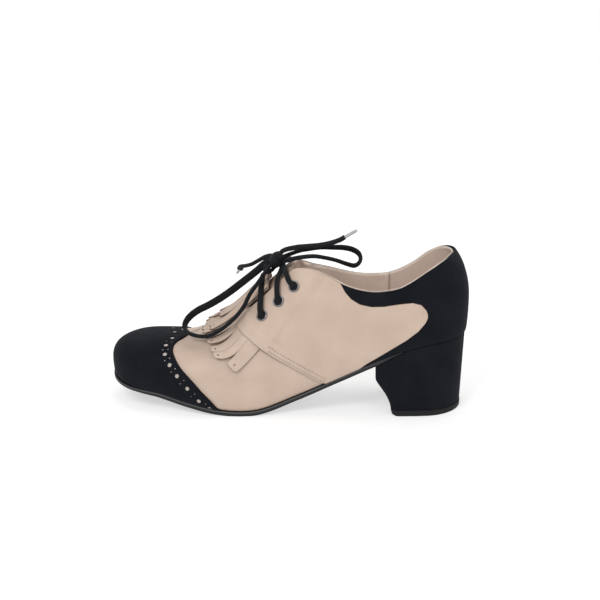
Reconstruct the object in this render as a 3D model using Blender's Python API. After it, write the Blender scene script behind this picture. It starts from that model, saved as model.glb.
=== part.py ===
"""Heeled oxford shoe for the left foot, standing on its heel and forefoot.

The toe points along -X, the outer (lateral) side faces -Y and +Z is up. The origin is the centre of the
flat underside of the heel's top piece. Sizes in this file are millimetres; meshes are built in metres.
A hollow lasted upper carries a wing tip, two laced quarters, a heel counter and a fringed kiltie.
"""
import math

import bmesh
import bpy
import numpy as np
from mathutils import Matrix, Vector

MM = 0.001

# Driving dimensions
BODY = 180.0            # from the centre of the heel's curve to the centre of the toe's curve
FAN = 40.0              # stations given to the half turn at each end
GAP = 0.3               # running gap between pieces that meet
SEAM = 0.4              # wider gap where a curved piece ends against another's edge
WALL = 1.8              # upper and its lining together
OVERLAY = 1.0           # wing tip, quarters, counter and kiltie
BASE_OUT = -0.75        # the upper's outer face, measured from the last's function
LAYER_OUT = 0.6         # the overlays' outer face, measured from the last's function
QUARTER_LIFT = 1.55     # how far the quarter's front rises to pass over the kiltie
LIFT_START, LIFT_RUN = 9.5, 3.0     # behind its front edge: where it starts to rise, and over how far
LIFT_LOW, LIFT_BLEND = 0.25, 0.12   # the share up the section at which it starts, and over how much
SOLE_THICK = 3.3
SOLE_EDGE = 1.1         # how far the sole's edge stands out past the feather line
SOLE_TAIL = 0.8         # thickness of the sole where it ends on the heel
SOLE_END = 16.0         # station of that end
SOLE_TAPER, EDGE_TAPER = 20.0, 40.0     # how far in front of it the sole is at full thickness and width
EDGE_TAIL = 0.3         # the share of SOLE_EDGE that is left where the sole ends
INSOLE_THICK = 2.0
TONGUE_THICK = 1.8
TONGUE_SAG = 1.6        # how far the tongue's top end sinks under the lacing
TOP_PIECE_THICK = 4.2
EYELET_OUTER, EYELET_HOLE, EYELET_HIGH = 3.9, 2.7, 1.0
LACE_FLAT = 1.5         # half the thickness of the lace where it crosses the tongue
LACE_REST = 0.5         # from the kiltie to the front bar of the lace
LACE_LOW = -1.8         # middle line of the crossing lace over the tongue, from the last's function
LACE_MEET = 4.5         # how far in front of its eyelets' middle the lace crosses
LACE_ROUND = 1.9        # radius of the tubes that stand for the flat lace's free loops and ends
AGLET_RADIUS, AGLET_LONG = 1.4, 9.0

# Stations run forward from the heel: -FAN..0 turns the heel's curve, 0..BODY are parallel sections,
# and BODY..BODY+FAN turns the toe's curve. Reaches are measured sideways from the ridge line.
STATION_END = BODY + FAN
LAST_COLUMNS = ("station", "feather reach", "widest reach", "feather height", "widest height", "top height",
                "fullness")
LATERAL_LAST = [
    (-40, 25.6, 26.8, 53.0, 76, 116, 2.0),
    (-20, 26.5, 29.0, 52.5, 74, 122, 2.1),
    (0, 28.0, 31.0, 49.5, 71, 135, 2.2),
    (30, 26.5, 31.0, 38.0, 62, 140, 2.2),
    (60, 25.5, 31.5, 23.5, 50, 128, 2.0),
    (85, 29.0, 35.0, 12.5, 37, 108, 1.9),
    (113, 37.0, 41.5, 3.7, 23, 80, 1.9),
    (138, 39.5, 43.0, 4.2, 19, 57, 2.0),
    (158, 38.0, 41.5, 8.0, 20, 46, 2.2),
    (180, 33.0, 36.0, 12.5, 23, 43.5, 2.5),
    (200, 33.0, 35.0, 16.0, 26, 43.5, 2.6),
    (220, 31.5, 33.5, 19.5, 29, 43.5, 2.7),
]
MEDIAL_LAST = [
    (-40, 25.6, 26.8, 53.0, 76, 116, 2.0),
    (-20, 26.5, 29.0, 52.5, 74, 122, 2.1),
    (0, 27.5, 30.5, 49.5, 71, 135, 2.2),
    (30, 24.0, 29.5, 38.0, 62, 140, 2.2),
    (60, 19.0, 29.0, 24.5, 52, 128, 2.0),
    (85, 20.0, 30.5, 13.5, 41, 108, 1.9),
    (113, 27.5, 35.0, 3.7, 27, 80, 1.9),
    (138, 33.0, 38.0, 4.2, 21, 57, 2.0),
    (158, 33.5, 37.0, 8.0, 21, 46, 2.2),
    (180, 31.0, 34.0, 12.5, 23, 43.5, 2.5),
    (200, 32.0, 34.5, 16.0, 26, 43.5, 2.6),
    (220, 31.5, 33.5, 19.5, 29, 43.5, 2.7),
]
RIDGE_COLUMNS = ("station", "sideways")
RIDGE = [(-40, 0.0), (0, 0.0), (60, 0.0), (100, 1.0), (140, 3.0), (180, 5.0), (220, 5.0)]

# The collar's top line, and the facing edges' share of the way up to the ridge in front of it
TOP_LINE_COLUMNS = ("station", "lateral height", "medial height")
TOP_LINE = [
    (-40, 107.0, 107.0), (-26, 106.8, 106.6), (-14, 105.8, 104.6), (-6, 103.2, 101.6), (0, 99.6, 97.6),
    (7, 94.8, 91.8), (13, 90.8, 88.0), (19, 87.6, 85.0), (26, 85.8, 82.8), (34, 84.8, 82.1),
    (45, 85.9, 82.4), (55, 88.9, 84.2), (64, 93.4, 86.6), (71, 95.8, 88.4), (77, 97.2, 89.9),
    (84, 97.1, 92.6), (90, 94.2, 94.0),
]
FACING_COLUMNS = ("station", "share")
FACING = [(90, 0.758), (112, 0.760), (116, 0.768), (119, 0.800), (121, 0.870), (121.8, 0.940), (122, 1.0)]
FACING_START, FACING_SHARE = 90.0, 0.76

# Wing tip: its free edge's station, going across from lateral sole (-1) over the ridge (0) to medial (1)
WING_COLUMNS = ("across", "station")
WING = [
    (-1.0, 135.0), (-0.84, 142.0), (-0.76, 148.5), (-0.66, 155.0), (-0.53, 162.5), (-0.45, 165.5),
    (-0.36, 168.0), (-0.28, 169.0), (-0.21, 168.5), (-0.15, 166.6), (-0.10, 163.6), (-0.05, 161.2),
    (0.0, 164.2), (0.05, 167.4), (0.12, 169.0), (0.20, 168.5), (0.32, 165.5), (0.48, 160.0),
    (0.66, 153.0), (0.82, 145.5), (1.0, 135.0),
]

# Quarter's outline in side view, from the sole up its front edge, over the top and back round the counter
QUARTER_COLUMNS = ("x", "height")
QUARTER = [
    (-63, 10), (-66, 20.5), (-76.5, 26.4), (-89, 34.5), (-102.5, 43.2), (-112, 49.4), (-119, 54.0),
    (-123.6, 57.4), (-125.6, 61.0), (-125, 66), (-117, 80), (-104, 104), (-78, 112), (-60, 98),
    (-56.4, 88.5), (-54, 84.3), (-50, 80.0), (-44.5, 76.8), (-37, 75.4), (-29, 75.8), (-19, 77.6),
    (-10.5, 78.7), (-5, 77.4), (-1.6, 73.6), (-0.6, 69.5), (-2.2, 64.8), (-6.5, 59.2), (-14, 52.8),
    (-24.5, 45.6), (-33, 39.8), (-40, 35.2), (-48, 28), (-54, 14),
]

# The quarter's front edge once more, by the share up the section
FRONT_EDGE_COLUMNS = ("share", "station")
FRONT_EDGE = [(0.0, 66), (0.2, 83), (0.38, 102.5), (0.53, 115.5), (0.64, 123), (0.70, 125), (0.76, 125)]

# Kiltie: strips of fringe across the throat, each between two slits, tucked under the quarters' fronts.
# Slant is how much further the far slit runs; drift and bow are how far its tip and middle go across.
STRIP_COLUMNS = ("near slit", "far slit", "tip station", "slant", "drift", "bow")
STRIPS = [
    (-0.551, -0.466, 128.2, 6.0, -0.083, 0.0), (-0.458, -0.402, 139.0, 2.5, -0.036, -0.028),
    (-0.395, -0.333, 141.5, 2.0, -0.038, -0.030), (-0.326, -0.272, 144.0, 1.5, -0.020, -0.020),
    (-0.264, -0.214, 146.5, 1.0, -0.008, -0.010), (-0.206, -0.133, 148.5, 0.5, 0.0, 0.0),
    (-0.125, -0.044, 150.5, 0.5, 0.0, 0.0), (-0.036, 0.044, 151.0, 0.0, 0.0, 0.0),
    (0.052, 0.129, 150.0, -0.5, 0.0, 0.0), (0.137, 0.206, 148.5, -0.5, 0.0, 0.0),
    (0.214, 0.264, 146.5, -1.0, 0.008, 0.010), (0.272, 0.326, 144.0, -1.5, 0.020, 0.020),
    (0.333, 0.395, 141.5, -2.0, 0.038, 0.030), (0.402, 0.458, 139.0, -2.5, 0.036, 0.028),
    (0.466, 0.551, 128.2, -6.0, 0.083, 0.0),
]
KILTIE_TUCK = 3.0       # how far it runs back under the quarters' fronts
KILTIE_CURL = 1.1       # how far the strips' tips stand off the vamp
KILTIE_THROAT = 0.21    # across, within which the kiltie runs back between the facings
KILTIE_BACK, KILTIE_SLIT = 105.0, 125.0

# Heel: how far its breast stands in front of the origin, by the share of the heel's height from the top
BREAST_COLUMNS = ("share down", "forward")
BREAST = [(0.0, 32.8), (0.15, 33.2), (0.34, 33.2), (0.5, 30.2), (0.68, 26.6), (0.85, 24.2), (1.0, 23.0)]
HEEL_FOOT_COLUMNS = ("station", "lateral reach", "medial reach")
HEEL_FOOT = [(-40, 23.6, 23.6), (-20, 26.0, 25.4), (0, 29.4, 27.4), (33, 31.6, 28.0)]
EYELET_COLUMNS = ("station", "share")
EYELETS = [(108.0, 0.628), (97.3, 0.630), (87.4, 0.640)]

# Free lace: knot, two loops and two ends, as points on their middle lines
KNOT = (-100.5, -3.5, 98.6)
KNOT_SIZE = (7.2, 6.4, 4.0)      # half sizes: down the instep, across it, and off it
KNOT_TILT = 45.0
LOOP_TOE = [
    (-107.5, -4.5, 96.5), (-113, -4.5, 91.6), (-119, -3.5, 86.4), (-125.2, -2.5, 81.2), (-132, -1.5, 75.6),
    (-139.5, -1, 70.2), (-147, -1, 65.6), (-153.5, -1.5, 62.3), (-158.5, -3.5, 59.0), (-161.6, -7, 55.6),
    (-162.0, -11, 52.6), (-159.6, -15, 50.7), (-155, -18.8, 50.0), (-149, -22.2, 50.2), (-143, -24.8, 51.9),
    (-136.5, -26.5, 55.9), (-130, -26.8, 61.1), (-124.5, -25.8, 66.6), (-120.2, -23.5, 72.4),
    (-116.8, -20.5, 79.2), (-112.4, -17.0, 85.2), (-108.6, -13.5, 90.4), (-104.4, -8.6, 95.7),
]
LOOP_HEEL = [
    (-94.5, -6.2, 98.8), (-88, -8.5, 101.0), (-82, -9.5, 102.4), (-75, -9.5, 103.0), (-68, -8.5, 101.8),
    (-61, -7, 99.9), (-54.5, -5, 97.2), (-49, -2.5, 95.2), (-45.8, 0.5, 96.2), (-44.7, 3.5, 98.8),
    (-46.2, 6, 101.6), (-50.5, 7, 103.9), (-56.5, 6.5, 105.2), (-63.5, 5.0, 105.6), (-71, 3.8, 105.8),
    (-79, 2.6, 104.8), (-86, 1.2, 103.6), (-94.6, -0.9, 100.8),
]
END_HEEL = [
    (-95.8, -4.2, 105.2), (-87, -4.5, 107.6), (-79, -5.5, 108.6), (-71.5, -6, 109.6), (-64.8, -6.5, 111.2),
    (-58.6, -7, 113.6), (-55.2, -7, 115.6),
]
END_TOE = [
    (-104.6, 1.9, 99.6), (-109.6, 5.6, 97.8), (-114, 8.8, 94.6), (-118.8, 12.4, 91.2), (-123.2, 16.6, 88.9),
    (-126.6, 21.4, 87.2), (-128.4, 26.2, 84.0),
]

COLOURS = {
    "cream_leather": ((0.62, 0.47, 0.38), 0.45, 0.0),
    "black_nubuck": ((0.014, 0.015, 0.019), 0.85, 0.0),
    "sole_black": ((0.03, 0.03, 0.032), 0.5, 0.0),
    "rubber_black": ((0.035, 0.035, 0.037), 0.6, 0.0),
    "lining_leather": ((0.50, 0.36, 0.30), 0.4, 0.0),
    "eyelet_metal": ((0.30, 0.30, 0.31), 0.3, 1.0),
    "lace_black": ((0.012, 0.014, 0.016), 0.8, 0.0),
    "aglet_grey": ((0.35, 0.36, 0.37), 0.3, 0.2),
}


def smooth(table, at):
    """Cubic curves through the table's rows: the columns after the first, at positions in the first."""
    rows = np.array(table, float)
    x, y = rows[:, 0], rows[:, 1:]
    step = np.diff(x)[:, None]
    slope = np.diff(y, axis=0) / step
    tangent = np.zeros_like(y)
    tangent[1:-1] = (slope[:-1] * step[1:] + slope[1:] * step[:-1]) / (step[1:] + step[:-1])
    tangent[0], tangent[-1] = slope[0], slope[-1]
    at = np.clip(np.asarray(at, float), x[0], x[-1])
    i = np.clip(np.searchsorted(x, at, side="right") - 1, 0, len(x) - 2)
    span = (x[i + 1] - x[i])[..., None]
    t = (at - x[i])[..., None] / span
    return ((2 * t**3 - 3 * t**2 + 1) * y[i] + (t**3 - 2 * t**2 + t) * span * tangent[i]
            + (3 * t**2 - 2 * t**3) * y[i + 1] + (t**3 - t**2) * span * tangent[i + 1])


def ease(value):
    """Smooth step from 0 to 1."""
    t = np.clip(value, 0.0, 1.0)
    return t * t * (3 - 2 * t)


def last_table(side):
    """The last's section table on one side: -1 is lateral, +1 is medial."""
    return LATERAL_LAST if side < 0 else MEDIAL_LAST


def ray(station, side):
    """Where a section starts on the ridge line, and the plan direction in which it runs outwards."""
    station = np.asarray(station, float)
    past_toe = (station - BODY) / FAN * 90
    angle = np.radians(np.where(station < 0, (station + FAN) / FAN * 90,
                                np.where(station > BODY, 90 + past_toe, 90)))
    start = np.stack([-np.clip(station, 0, BODY), smooth(RIDGE, station)[..., 0]], -1)
    return start, np.stack([np.cos(angle), side * np.sin(angle)], -1)


LOW_SHARE = 0.25        # the share of a section that lies under its widest point
LEVEL_SHARE = 0.06      # the share next to the sole over which every layer's thickness is measured level


def last_point(station, share, side):
    """A point of the last: a quarter ellipse from feather to widest, then a fuller one to the ridge."""
    feather, widest, low, mid, top, full = np.moveaxis(smooth(last_table(side), station), -1, 0)
    under = np.clip(1 - share / LOW_SHARE, 0, 1) * math.pi / 2
    over = np.clip((share - LOW_SHARE) / (1 - LOW_SHARE), 0, 1) * math.pi / 2
    is_low = share < LOW_SHARE
    reach = np.where(is_low, feather + (widest - feather) * np.cos(under),
                     widest * np.clip(np.cos(over), 0, 1) ** (2 / full))
    height = np.where(is_low, mid - (mid - low) * np.sin(under),
                      mid + (top - mid) * np.sin(over) ** (2 / full))
    start, out = ray(station, side)
    plan = start + reach[..., None] * out
    return np.concatenate([plan, height[..., None]], -1)


def share_at_height(station, height, side):
    """The share up the section at which the last reaches a height above its widest point."""
    _, _, _, mid, top, full = np.moveaxis(smooth(last_table(side), station), -1, 0)
    over = np.arcsin(np.clip((height - mid) / (top - mid), 0, 1) ** (full / 2))
    return LOW_SHARE + (1 - LOW_SHARE) * over / (math.pi / 2)


def opening_share(station, side):
    """Where the upper ends: at the collar's top line, along the facing, and at the ridge in front of it."""
    station = np.asarray(station, float)
    height = smooth(TOP_LINE, station)[..., 0 if side < 0 else 1]
    collar = share_at_height(station, height, side)
    blend = ease((station - (FACING_START - 6)) / 6)
    facing = np.interp(station, [row[0] for row in FACING], [row[1] for row in FACING])
    return collar * (1 - blend) + facing * blend


def facing_share(station, side):
    """Where the quarter ends: as the opening, but its facing runs on past the throat."""
    return np.minimum(opening_share(station, side), np.where(np.asarray(station) > FACING_START,
                                                             FACING_SHARE, 1.0))


ROWS = np.array([0, 0.05, 0.12, 0.20, 0.30, 0.42, 0.54, 0.66, 0.78, 0.89, 1.0])
HEEL_STATIONS = np.linspace(-FAN, 0, 7)
FRONT_STATIONS = np.arange(132, 175, 6)
TOE_STATIONS = np.linspace(BODY, STATION_END, 9)
TONGUE_STATIONS = np.array([93, 96, 102, 107, 112, 116, 119, 122, 127, 130], float)
TONGUE_ROWS = np.array([0.66, 0.72, 0.78, 0.84, 0.89, 0.945, 1.0])


def grid_faces(rows, columns, offset, flip):
    """Two triangles for each cell of a grid whose points run columns fastest, alike for every layer."""
    i, j = np.meshgrid(np.arange(rows - 1), np.arange(columns - 1), indexing="ij")
    first = (offset + i * columns + j).ravel()
    halves = [np.stack([first, first + columns, first + columns + 1], -1),
              np.stack([first, first + columns + 1, first + 1], -1)]
    corners = np.stack(halves, 1).reshape(-1, 3)
    return [list(c) for c in (corners[:, ::-1] if flip else corners)]


def weld(points, faces, extra):
    """Join points that lie within a hundredth of a millimetre, and drop the faces that this closes up."""
    _, first, inverse = np.unique(np.round(points / 0.01).astype(int), axis=0, return_index=True,
                                  return_inverse=True)
    inverse = inverse.ravel()
    kept = []
    for face in faces:
        ring = [inverse[v] for v in face]
        ring = [v for k, v in enumerate(ring) if v != ring[k - 1]]
        if len(set(ring)) == len(ring) and len(ring) > 2:
            kept.append(ring)
    return points[first], kept, extra[first]


def both_sides(stations, share_of):
    """A sheet over both sides of the last, with share_of(station, side) as its upper edge."""
    points, faces, flat = [], [], []
    for side in (-1, 1):
        edge = share_of(stations, side)
        station = np.repeat(stations, len(ROWS))
        share = (edge[:, None] * ROWS).ravel()
        faces += grid_faces(len(stations), len(ROWS), len(points) * len(station), side < 0)
        points.append(last_point(station, share, side))
        flat.append(share < LEVEL_SHARE)
    return np.concatenate(points), faces, np.concatenate(flat)


def one_side(stations, share_of, side):
    """The same sheet over one side only."""
    edge = share_of(stations, side)
    station = np.repeat(stations, len(ROWS))
    share = (edge[:, None] * ROWS).ravel()
    faces = grid_faces(len(stations), len(ROWS), 0, side < 0)
    return last_point(station, share, side), faces, share < LEVEL_SHARE


def vertex_normals(points, faces, flat):
    """Area-weighted normals, laid level along the feather line so that every layer ends at one height."""
    normals = np.zeros_like(points)
    for face in faces:
        corner = points[face]
        turn = np.cross(corner, np.roll(corner, -1, axis=0)).sum(axis=0)
        normals[face] += turn
    normals[flat, 2] = 0
    return normals / np.linalg.norm(normals, axis=1)[:, None]


def new_object(name, points, faces, colour):
    """A mesh object from points in millimetres, its faces turned outwards, with a named finish."""
    mesh = bpy.data.meshes.new(name)
    mesh.from_pydata((np.asarray(points) * MM).tolist(), [], [list(map(int, f)) for f in faces])
    bm = bmesh.new()
    bm.from_mesh(mesh)
    if bm.calc_volume(signed=True) < 0:
        bmesh.ops.reverse_faces(bm, faces=bm.faces)
    bm.to_mesh(mesh)
    bm.free()
    obj = bpy.data.objects.new(name, mesh)
    bpy.context.scene.collection.objects.link(obj)
    mesh.materials.append(finish(colour))
    return obj


def finish(colour):
    """The Principled material of a finish, made once."""
    if colour in bpy.data.materials:
        return bpy.data.materials[colour]
    base, roughness, metallic = COLOURS[colour]
    material = bpy.data.materials.new(colour)
    material.use_nodes = True
    shader = material.node_tree.nodes["Principled BSDF"]
    shader.inputs["Base Color"].default_value = (*base, 1.0)
    shader.inputs["Roughness"].default_value = roughness
    shader.inputs["Metallic"].default_value = metallic
    return material


def shell(name, sheet, inner, outer, colour):
    """A closed wall between two offsets of a sheet; each is a number or one value for each point."""
    points, faces, extra = weld(sheet[0], sheet[1], np.column_stack(
        [sheet[2], np.broadcast_to(inner, len(sheet[0])), np.broadcast_to(outer, len(sheet[0]))]))
    normals = vertex_normals(points, faces, extra[:, 0] > 0)
    count = len(points)
    edges = {(face[k - 1], face[k]) for face in faces for k in range(len(face))}
    rims = [(b, a, a + count, b + count) for a, b in edges if (b, a) not in edges]
    walls = np.concatenate([points + normals * extra[:, 2:3], points + normals * extra[:, 1:2]])
    backs = [[v + count for v in face[::-1]] for face in faces]
    return new_object(name, walls, list(faces) + backs + rims, colour)


def slab(name, stations, reach_of, top_of, bottom_of, colour):
    """A plate under the foot: its outline and its two faces' heights are functions of station and side."""
    loops = []
    for height_of in (top_of, bottom_of):
        for side in (-1, 1):
            start, out = ray(stations, side)
            plan = start + reach_of(stations, side)[:, None] * out
            loops.append(np.column_stack([plan, height_of(stations, side)]))
    count = len(stations)
    lat_top, med_top, lat_low, med_low = (k * count + np.arange(count) for k in range(4))
    faces = []
    for a, b in ((lat_top, med_top), (med_top, med_low), (med_low, lat_low), (lat_low, lat_top)):
        faces += [(a[i], b[i], b[i + 1], a[i + 1]) for i in range(count - 1)]
    for end in (0, count - 1):
        ring = [lat_top[end], lat_low[end], med_low[end], med_top[end]]
        faces.append(ring if end == 0 else ring[::-1])
    points, faces, _ = weld(np.concatenate(loops), faces, np.zeros((4 * count, 1)))
    return new_object(name, points, faces, colour)


def feather(column):
    """A function of station and side that reads one column of the last's tables."""
    place = LAST_COLUMNS.index(column) - 1
    return lambda station, side: smooth(last_table(side), station)[..., place]


def prism(name, outline, near, far):
    """A cutter: a closed side-view outline, rounded through its points, drawn from near to far along Y."""
    ring = np.array(outline, float)
    bend = []
    for t in (0.0, 1 / 3, 2 / 3):
        before, here, after, beyond = (np.roll(ring, k, axis=0) for k in (1, 0, -1, -2))
        square = (2 * before - 5 * here + 4 * after - beyond) * t**2
        cube = (3 * here - before - 3 * after + beyond) * t**3
        bend.append(0.5 * (2 * here + (after - before) * t + square + cube))
    line = np.stack(bend, 1).reshape(-1, 2)
    count = len(line)
    points = [(x, y, z) for y in (near, far) for x, z in line]
    faces = [list(range(count)), list(range(2 * count - 1, count - 1, -1))]
    faces += [(k, (k + 1) % count, (k + 1) % count + count, k + count) for k in range(count)]
    cutter = new_object(name, points, faces, "sole_black")
    bm = bmesh.new()
    bm.from_mesh(cutter.data)
    bmesh.ops.recalc_face_normals(bm, faces=bm.faces)
    bm.to_mesh(cutter.data)
    bm.free()
    cutter.hide_render = True
    cutter.display_type = "WIRE"
    return cutter


def grown(outline, amount):
    """The outline pushed outwards by an amount, for the gap beside a piece that fills it."""
    ring = np.array(outline, float)
    along = np.roll(ring, -1, axis=0) - np.roll(ring, 1, axis=0)
    side = np.stack([-along[:, 1], along[:, 0]], -1) / np.linalg.norm(along, axis=1)[:, None]
    turn = np.sum(ring[:, 0] * np.roll(ring[:, 1], -1) - np.roll(ring[:, 0], -1) * ring[:, 1])
    return ring - np.sign(turn) * side * amount


def cut(obj, cutter, operation):
    """A live Boolean with the exact solver."""
    modifier = obj.modifiers.new(operation.lower(), "BOOLEAN")
    modifier.operation = operation
    modifier.solver = "EXACT"
    modifier.object = cutter


def build_upper():
    """The lasted upper: one hollow wall, open underneath, at the collar and between the facings."""
    throat = [84, 87, 90, 96, 102, 107, 112, 116, 119, 121, 121.8, 122, 127]
    stations = np.concatenate([HEEL_STATIONS, np.arange(8, 81, 8), throat, FRONT_STATIONS, TOE_STATIONS])
    shell("upper", both_sides(stations, opening_share), BASE_OUT - WALL, BASE_OUT, "cream_leather")


def build_toe_cap():
    """The wing tip, from its free edge round the toe, on the upper's own stations."""
    points, faces, flat = [], [], []
    rows = np.sort(np.concatenate([ROWS, [0.84, 0.925, 0.96]]))
    stations = np.concatenate([FRONT_STATIONS, TOE_STATIONS])
    for side in (-1, 1):
        station = np.maximum(stations[:, None], smooth(WING, side * (1 - rows))[:, 0])
        share = np.broadcast_to(rows, station.shape)
        faces += grid_faces(len(station), len(rows), len(points) * station.size, side < 0)
        points.append(last_point(station.ravel(), share.ravel(), side))
        flat.append(share.ravel() < LEVEL_SHARE)
    sheet = np.concatenate(points), faces, np.concatenate(flat)
    shell("toe_cap", sheet, LAYER_OUT - OVERLAY, LAYER_OUT, "black_nubuck")


def quarter_front(share):
    """Station of the quarter's front edge at a share up the section."""
    return np.interp(share, [row[0] for row in FRONT_EDGE], [row[1] for row in FRONT_EDGE])


def build_quarters():
    """Both quarters with their facings; the front rises over the kiltie's edge."""
    stations = np.concatenate([[-8, 0], np.arange(8, 81, 8), [84, 87, 90, 96], np.arange(102, 128, 2.5)])
    for name, side in (("quarter_lateral", -1), ("quarter_medial", 1)):
        sheet = one_side(stations, facing_share, side)
        share = (facing_share(stations, side)[:, None] * ROWS).ravel()
        ahead = np.repeat(stations, len(ROWS)) - quarter_front(share)
        lift = QUARTER_LIFT * ease((ahead + LIFT_START) / LIFT_RUN) * ease((share - LIFT_LOW) / LIFT_BLEND)
        quarter = shell(name, sheet, LAYER_OUT - OVERLAY + lift, LAYER_OUT + lift, "cream_leather")
        near, far = sorted((side * 2.0, side * 60.0))
        cut(quarter, prism(name + "_outline", QUARTER, near, far), "INTERSECT")


def build_counter():
    """The heel counter and collar band in one piece, round the back of the foot."""
    stations = np.concatenate([HEEL_STATIONS, np.arange(8, 57, 8), [60]])
    sheet = both_sides(stations, opening_share)
    counter = shell("counter", sheet, LAYER_OUT - OVERLAY, LAYER_OUT, "black_nubuck")
    cut(counter, prism("counter_outline", grown(QUARTER, SEAM), -60, 60), "DIFFERENCE")


def build_tongue():
    """The tongue under the facings, from beneath the vamp to the top of the lacing."""
    points, faces, drop = [], [], []
    for side in (-1, 1):
        station = np.repeat(TONGUE_STATIONS, len(TONGUE_ROWS))
        share = np.tile(TONGUE_ROWS, len(TONGUE_STATIONS))
        faces += grid_faces(len(TONGUE_STATIONS), len(TONGUE_ROWS), len(points) * len(station), side < 0)
        points.append(last_point(station, share, side))
        drop.append(TONGUE_SAG * ease((TONGUE_STATIONS[0] + 8 - station) / 8) * ease((share - 0.7) / 0.2))
    sheet = np.concatenate(points), faces, np.zeros(sum(len(p) for p in points), bool)
    outer = BASE_OUT - WALL - 2 * GAP - np.concatenate(drop)
    shell("tongue", sheet, outer - TONGUE_THICK, outer, "cream_leather")


def build_kiltie():
    """The fringe: a sheet over the throat, slit into strips whose tips lift a little."""
    lengths = np.array([0.0, 0.5, 1.0, 1.25, 1.5, 1.75, 2.0])    # 0 root, 1 slit, 2 tip
    across, station = [], []
    free = np.clip(lengths - 1, 0, 1)
    for near, far, tip, slant, drift, bow in STRIPS:
        for c in (near, (near + far) / 2, far):
            front = quarter_front(1 - abs(c))
            in_throat = abs(c) < KILTIE_THROAT
            ends = (KILTIE_BACK, KILTIE_SLIT) if in_throat else (front - KILTIE_TUCK, front + 1)
            end = tip + slant * ((c - near) / (far - near) - 0.5)
            across.append(c + drift * free + bow * 4 * free * (1 - free))
            station.append(np.interp(lengths, [0, 1, 2], [*ends, end]))
    across, station = np.array(across), np.array(station)
    share = 1 - np.abs(across)
    lateral = last_point(station.ravel(), share.ravel(), -1)
    medial = last_point(station.ravel(), share.ravel(), 1)
    points = np.where(across.ravel()[:, None] < 0, lateral, medial)
    rows = len(lengths)
    faces = []
    for face in grid_faces(len(across), rows, 0, False):
        column, along = face[0] // rows, face[0] % rows
        if column % 3 < 2 or lengths[along] < 1:
            faces.append(face)
    lift = np.tile(KILTIE_CURL * ease(lengths - 1), len(across)) + LAYER_OUT
    sheet = points, faces, np.zeros(len(points), bool)
    shell("kiltie", sheet, lift - OVERLAY, lift, "cream_leather")


def build_sole():
    """Outsole with toe spring, flat tread and arch; it thins out and ends on top of the heel."""
    stations = np.concatenate([[SOLE_END, 22], np.arange(28, 175, 7), TOE_STATIONS])
    seat = feather("feather height")
    thick = lambda s: SOLE_TAIL + (SOLE_THICK - SOLE_TAIL) * ease((s - SOLE_END) / SOLE_TAPER)
    share = lambda s: EDGE_TAIL + (1 - EDGE_TAIL) * ease((s - SOLE_END) / EDGE_TAPER)
    edge = lambda s, side: feather("feather reach")(s, side) + SOLE_EDGE * share(s)
    slab("outsole", stations, edge, lambda s, side: seat(s, side) - GAP,
         lambda s, side: np.maximum(seat(s, side) - GAP - thick(s), 0.0), "sole_black")
    return thick


def build_insole():
    """The insole inside the upper's wall, full length."""
    stations = np.concatenate([HEEL_STATIONS, np.arange(8, 175, 8), TOE_STATIONS])
    reach = feather("feather reach")
    seat = feather("feather height")
    slab("insole", stations, lambda s, side: reach(s, side) + BASE_OUT - WALL - SEAM,
         lambda s, side: seat(s, side) + INSOLE_THICK, seat, "lining_leather")


def build_heel(sole_thick):
    """The covered block heel: its seat follows the last, its breast steps back, the top piece is below."""
    forward = np.array([6.0, 11.0, SOLE_END - 0.9, SOLE_END - 0.4, 22.0, 28.0, BREAST[0][1]])
    stations = np.concatenate([HEEL_STATIONS, forward])
    seat_reach, seat_height = feather("feather reach"), feather("feather height")
    under_sole = np.where(stations > SOLE_END - 0.5, sole_thick(stations) + GAP, 0.0)
    levels = [row[0] for row in BREAST]
    share = np.clip(stations / BREAST[0][1], 0, 1)
    loops = []
    for level, breast in BREAST:
        low_stations = np.where(stations < 0, stations, share * BREAST[-1][1])
        for side in (-1, 1):
            start, out = ray(stations, side)
            seat = start + (seat_reach(stations, side) + 0.2)[:, None] * out
            foot_start, foot_out = ray(low_stations, side)
            foot_reach = smooth(HEEL_FOOT, stations)[:, 0 if side < 0 else 1]
            foot = foot_start + foot_reach[:, None] * foot_out
            plan = seat + (foot - seat) * level
            plan[:, 0] -= share * (breast - BREAST[0][1] - (BREAST[-1][1] - BREAST[0][1]) * level)
            top = seat_height(stations, side) - GAP - under_sole
            height = top + (TOP_PIECE_THICK + GAP - top) * level
            loops.append(np.column_stack([plan, height]))
    count = len(stations)
    rings = [np.arange(count) + 2 * k * count for k in range(len(levels))]
    faces = []
    for k in range(len(levels) - 1):
        for a, b in ((rings[k], rings[k + 1]), (rings[k + 1] + count, rings[k] + count)):
            faces += [(a[i], b[i], b[i + 1], a[i + 1]) for i in range(count - 1)]
        upper, lower = rings[k][-1], rings[k + 1][-1]
        faces.append((upper, lower, lower + count, upper + count))
    faces += [(rings[0][i], rings[0][i + 1], rings[0][i + 1] + count, rings[0][i] + count)
              for i in range(count - 1)]
    faces += [(rings[-1][i] + count, rings[-1][i + 1] + count, rings[-1][i + 1], rings[-1][i])
              for i in range(count - 1)]
    points, faces, _ = weld(np.concatenate(loops), faces, np.zeros((len(loops) * count, 1)))
    new_object("heel", points, faces, "black_nubuck")


def build_top_piece():
    """The rubber piece that the heel walks on, a shade proud of the covering."""
    stations = np.concatenate([HEEL_STATIONS, np.array([8, 16, 23.0])])
    full = BREAST[0][1] / BREAST[-1][1]
    reach = lambda s, side: smooth(HEEL_FOOT, np.where(s < 0, s, s * full))[:, 0 if side < 0 else 1] + 0.3
    slab("top_piece", stations, reach, lambda s, side: np.full(len(s), TOP_PIECE_THICK),
         lambda s, side: np.zeros(len(s)), "rubber_black")


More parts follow.
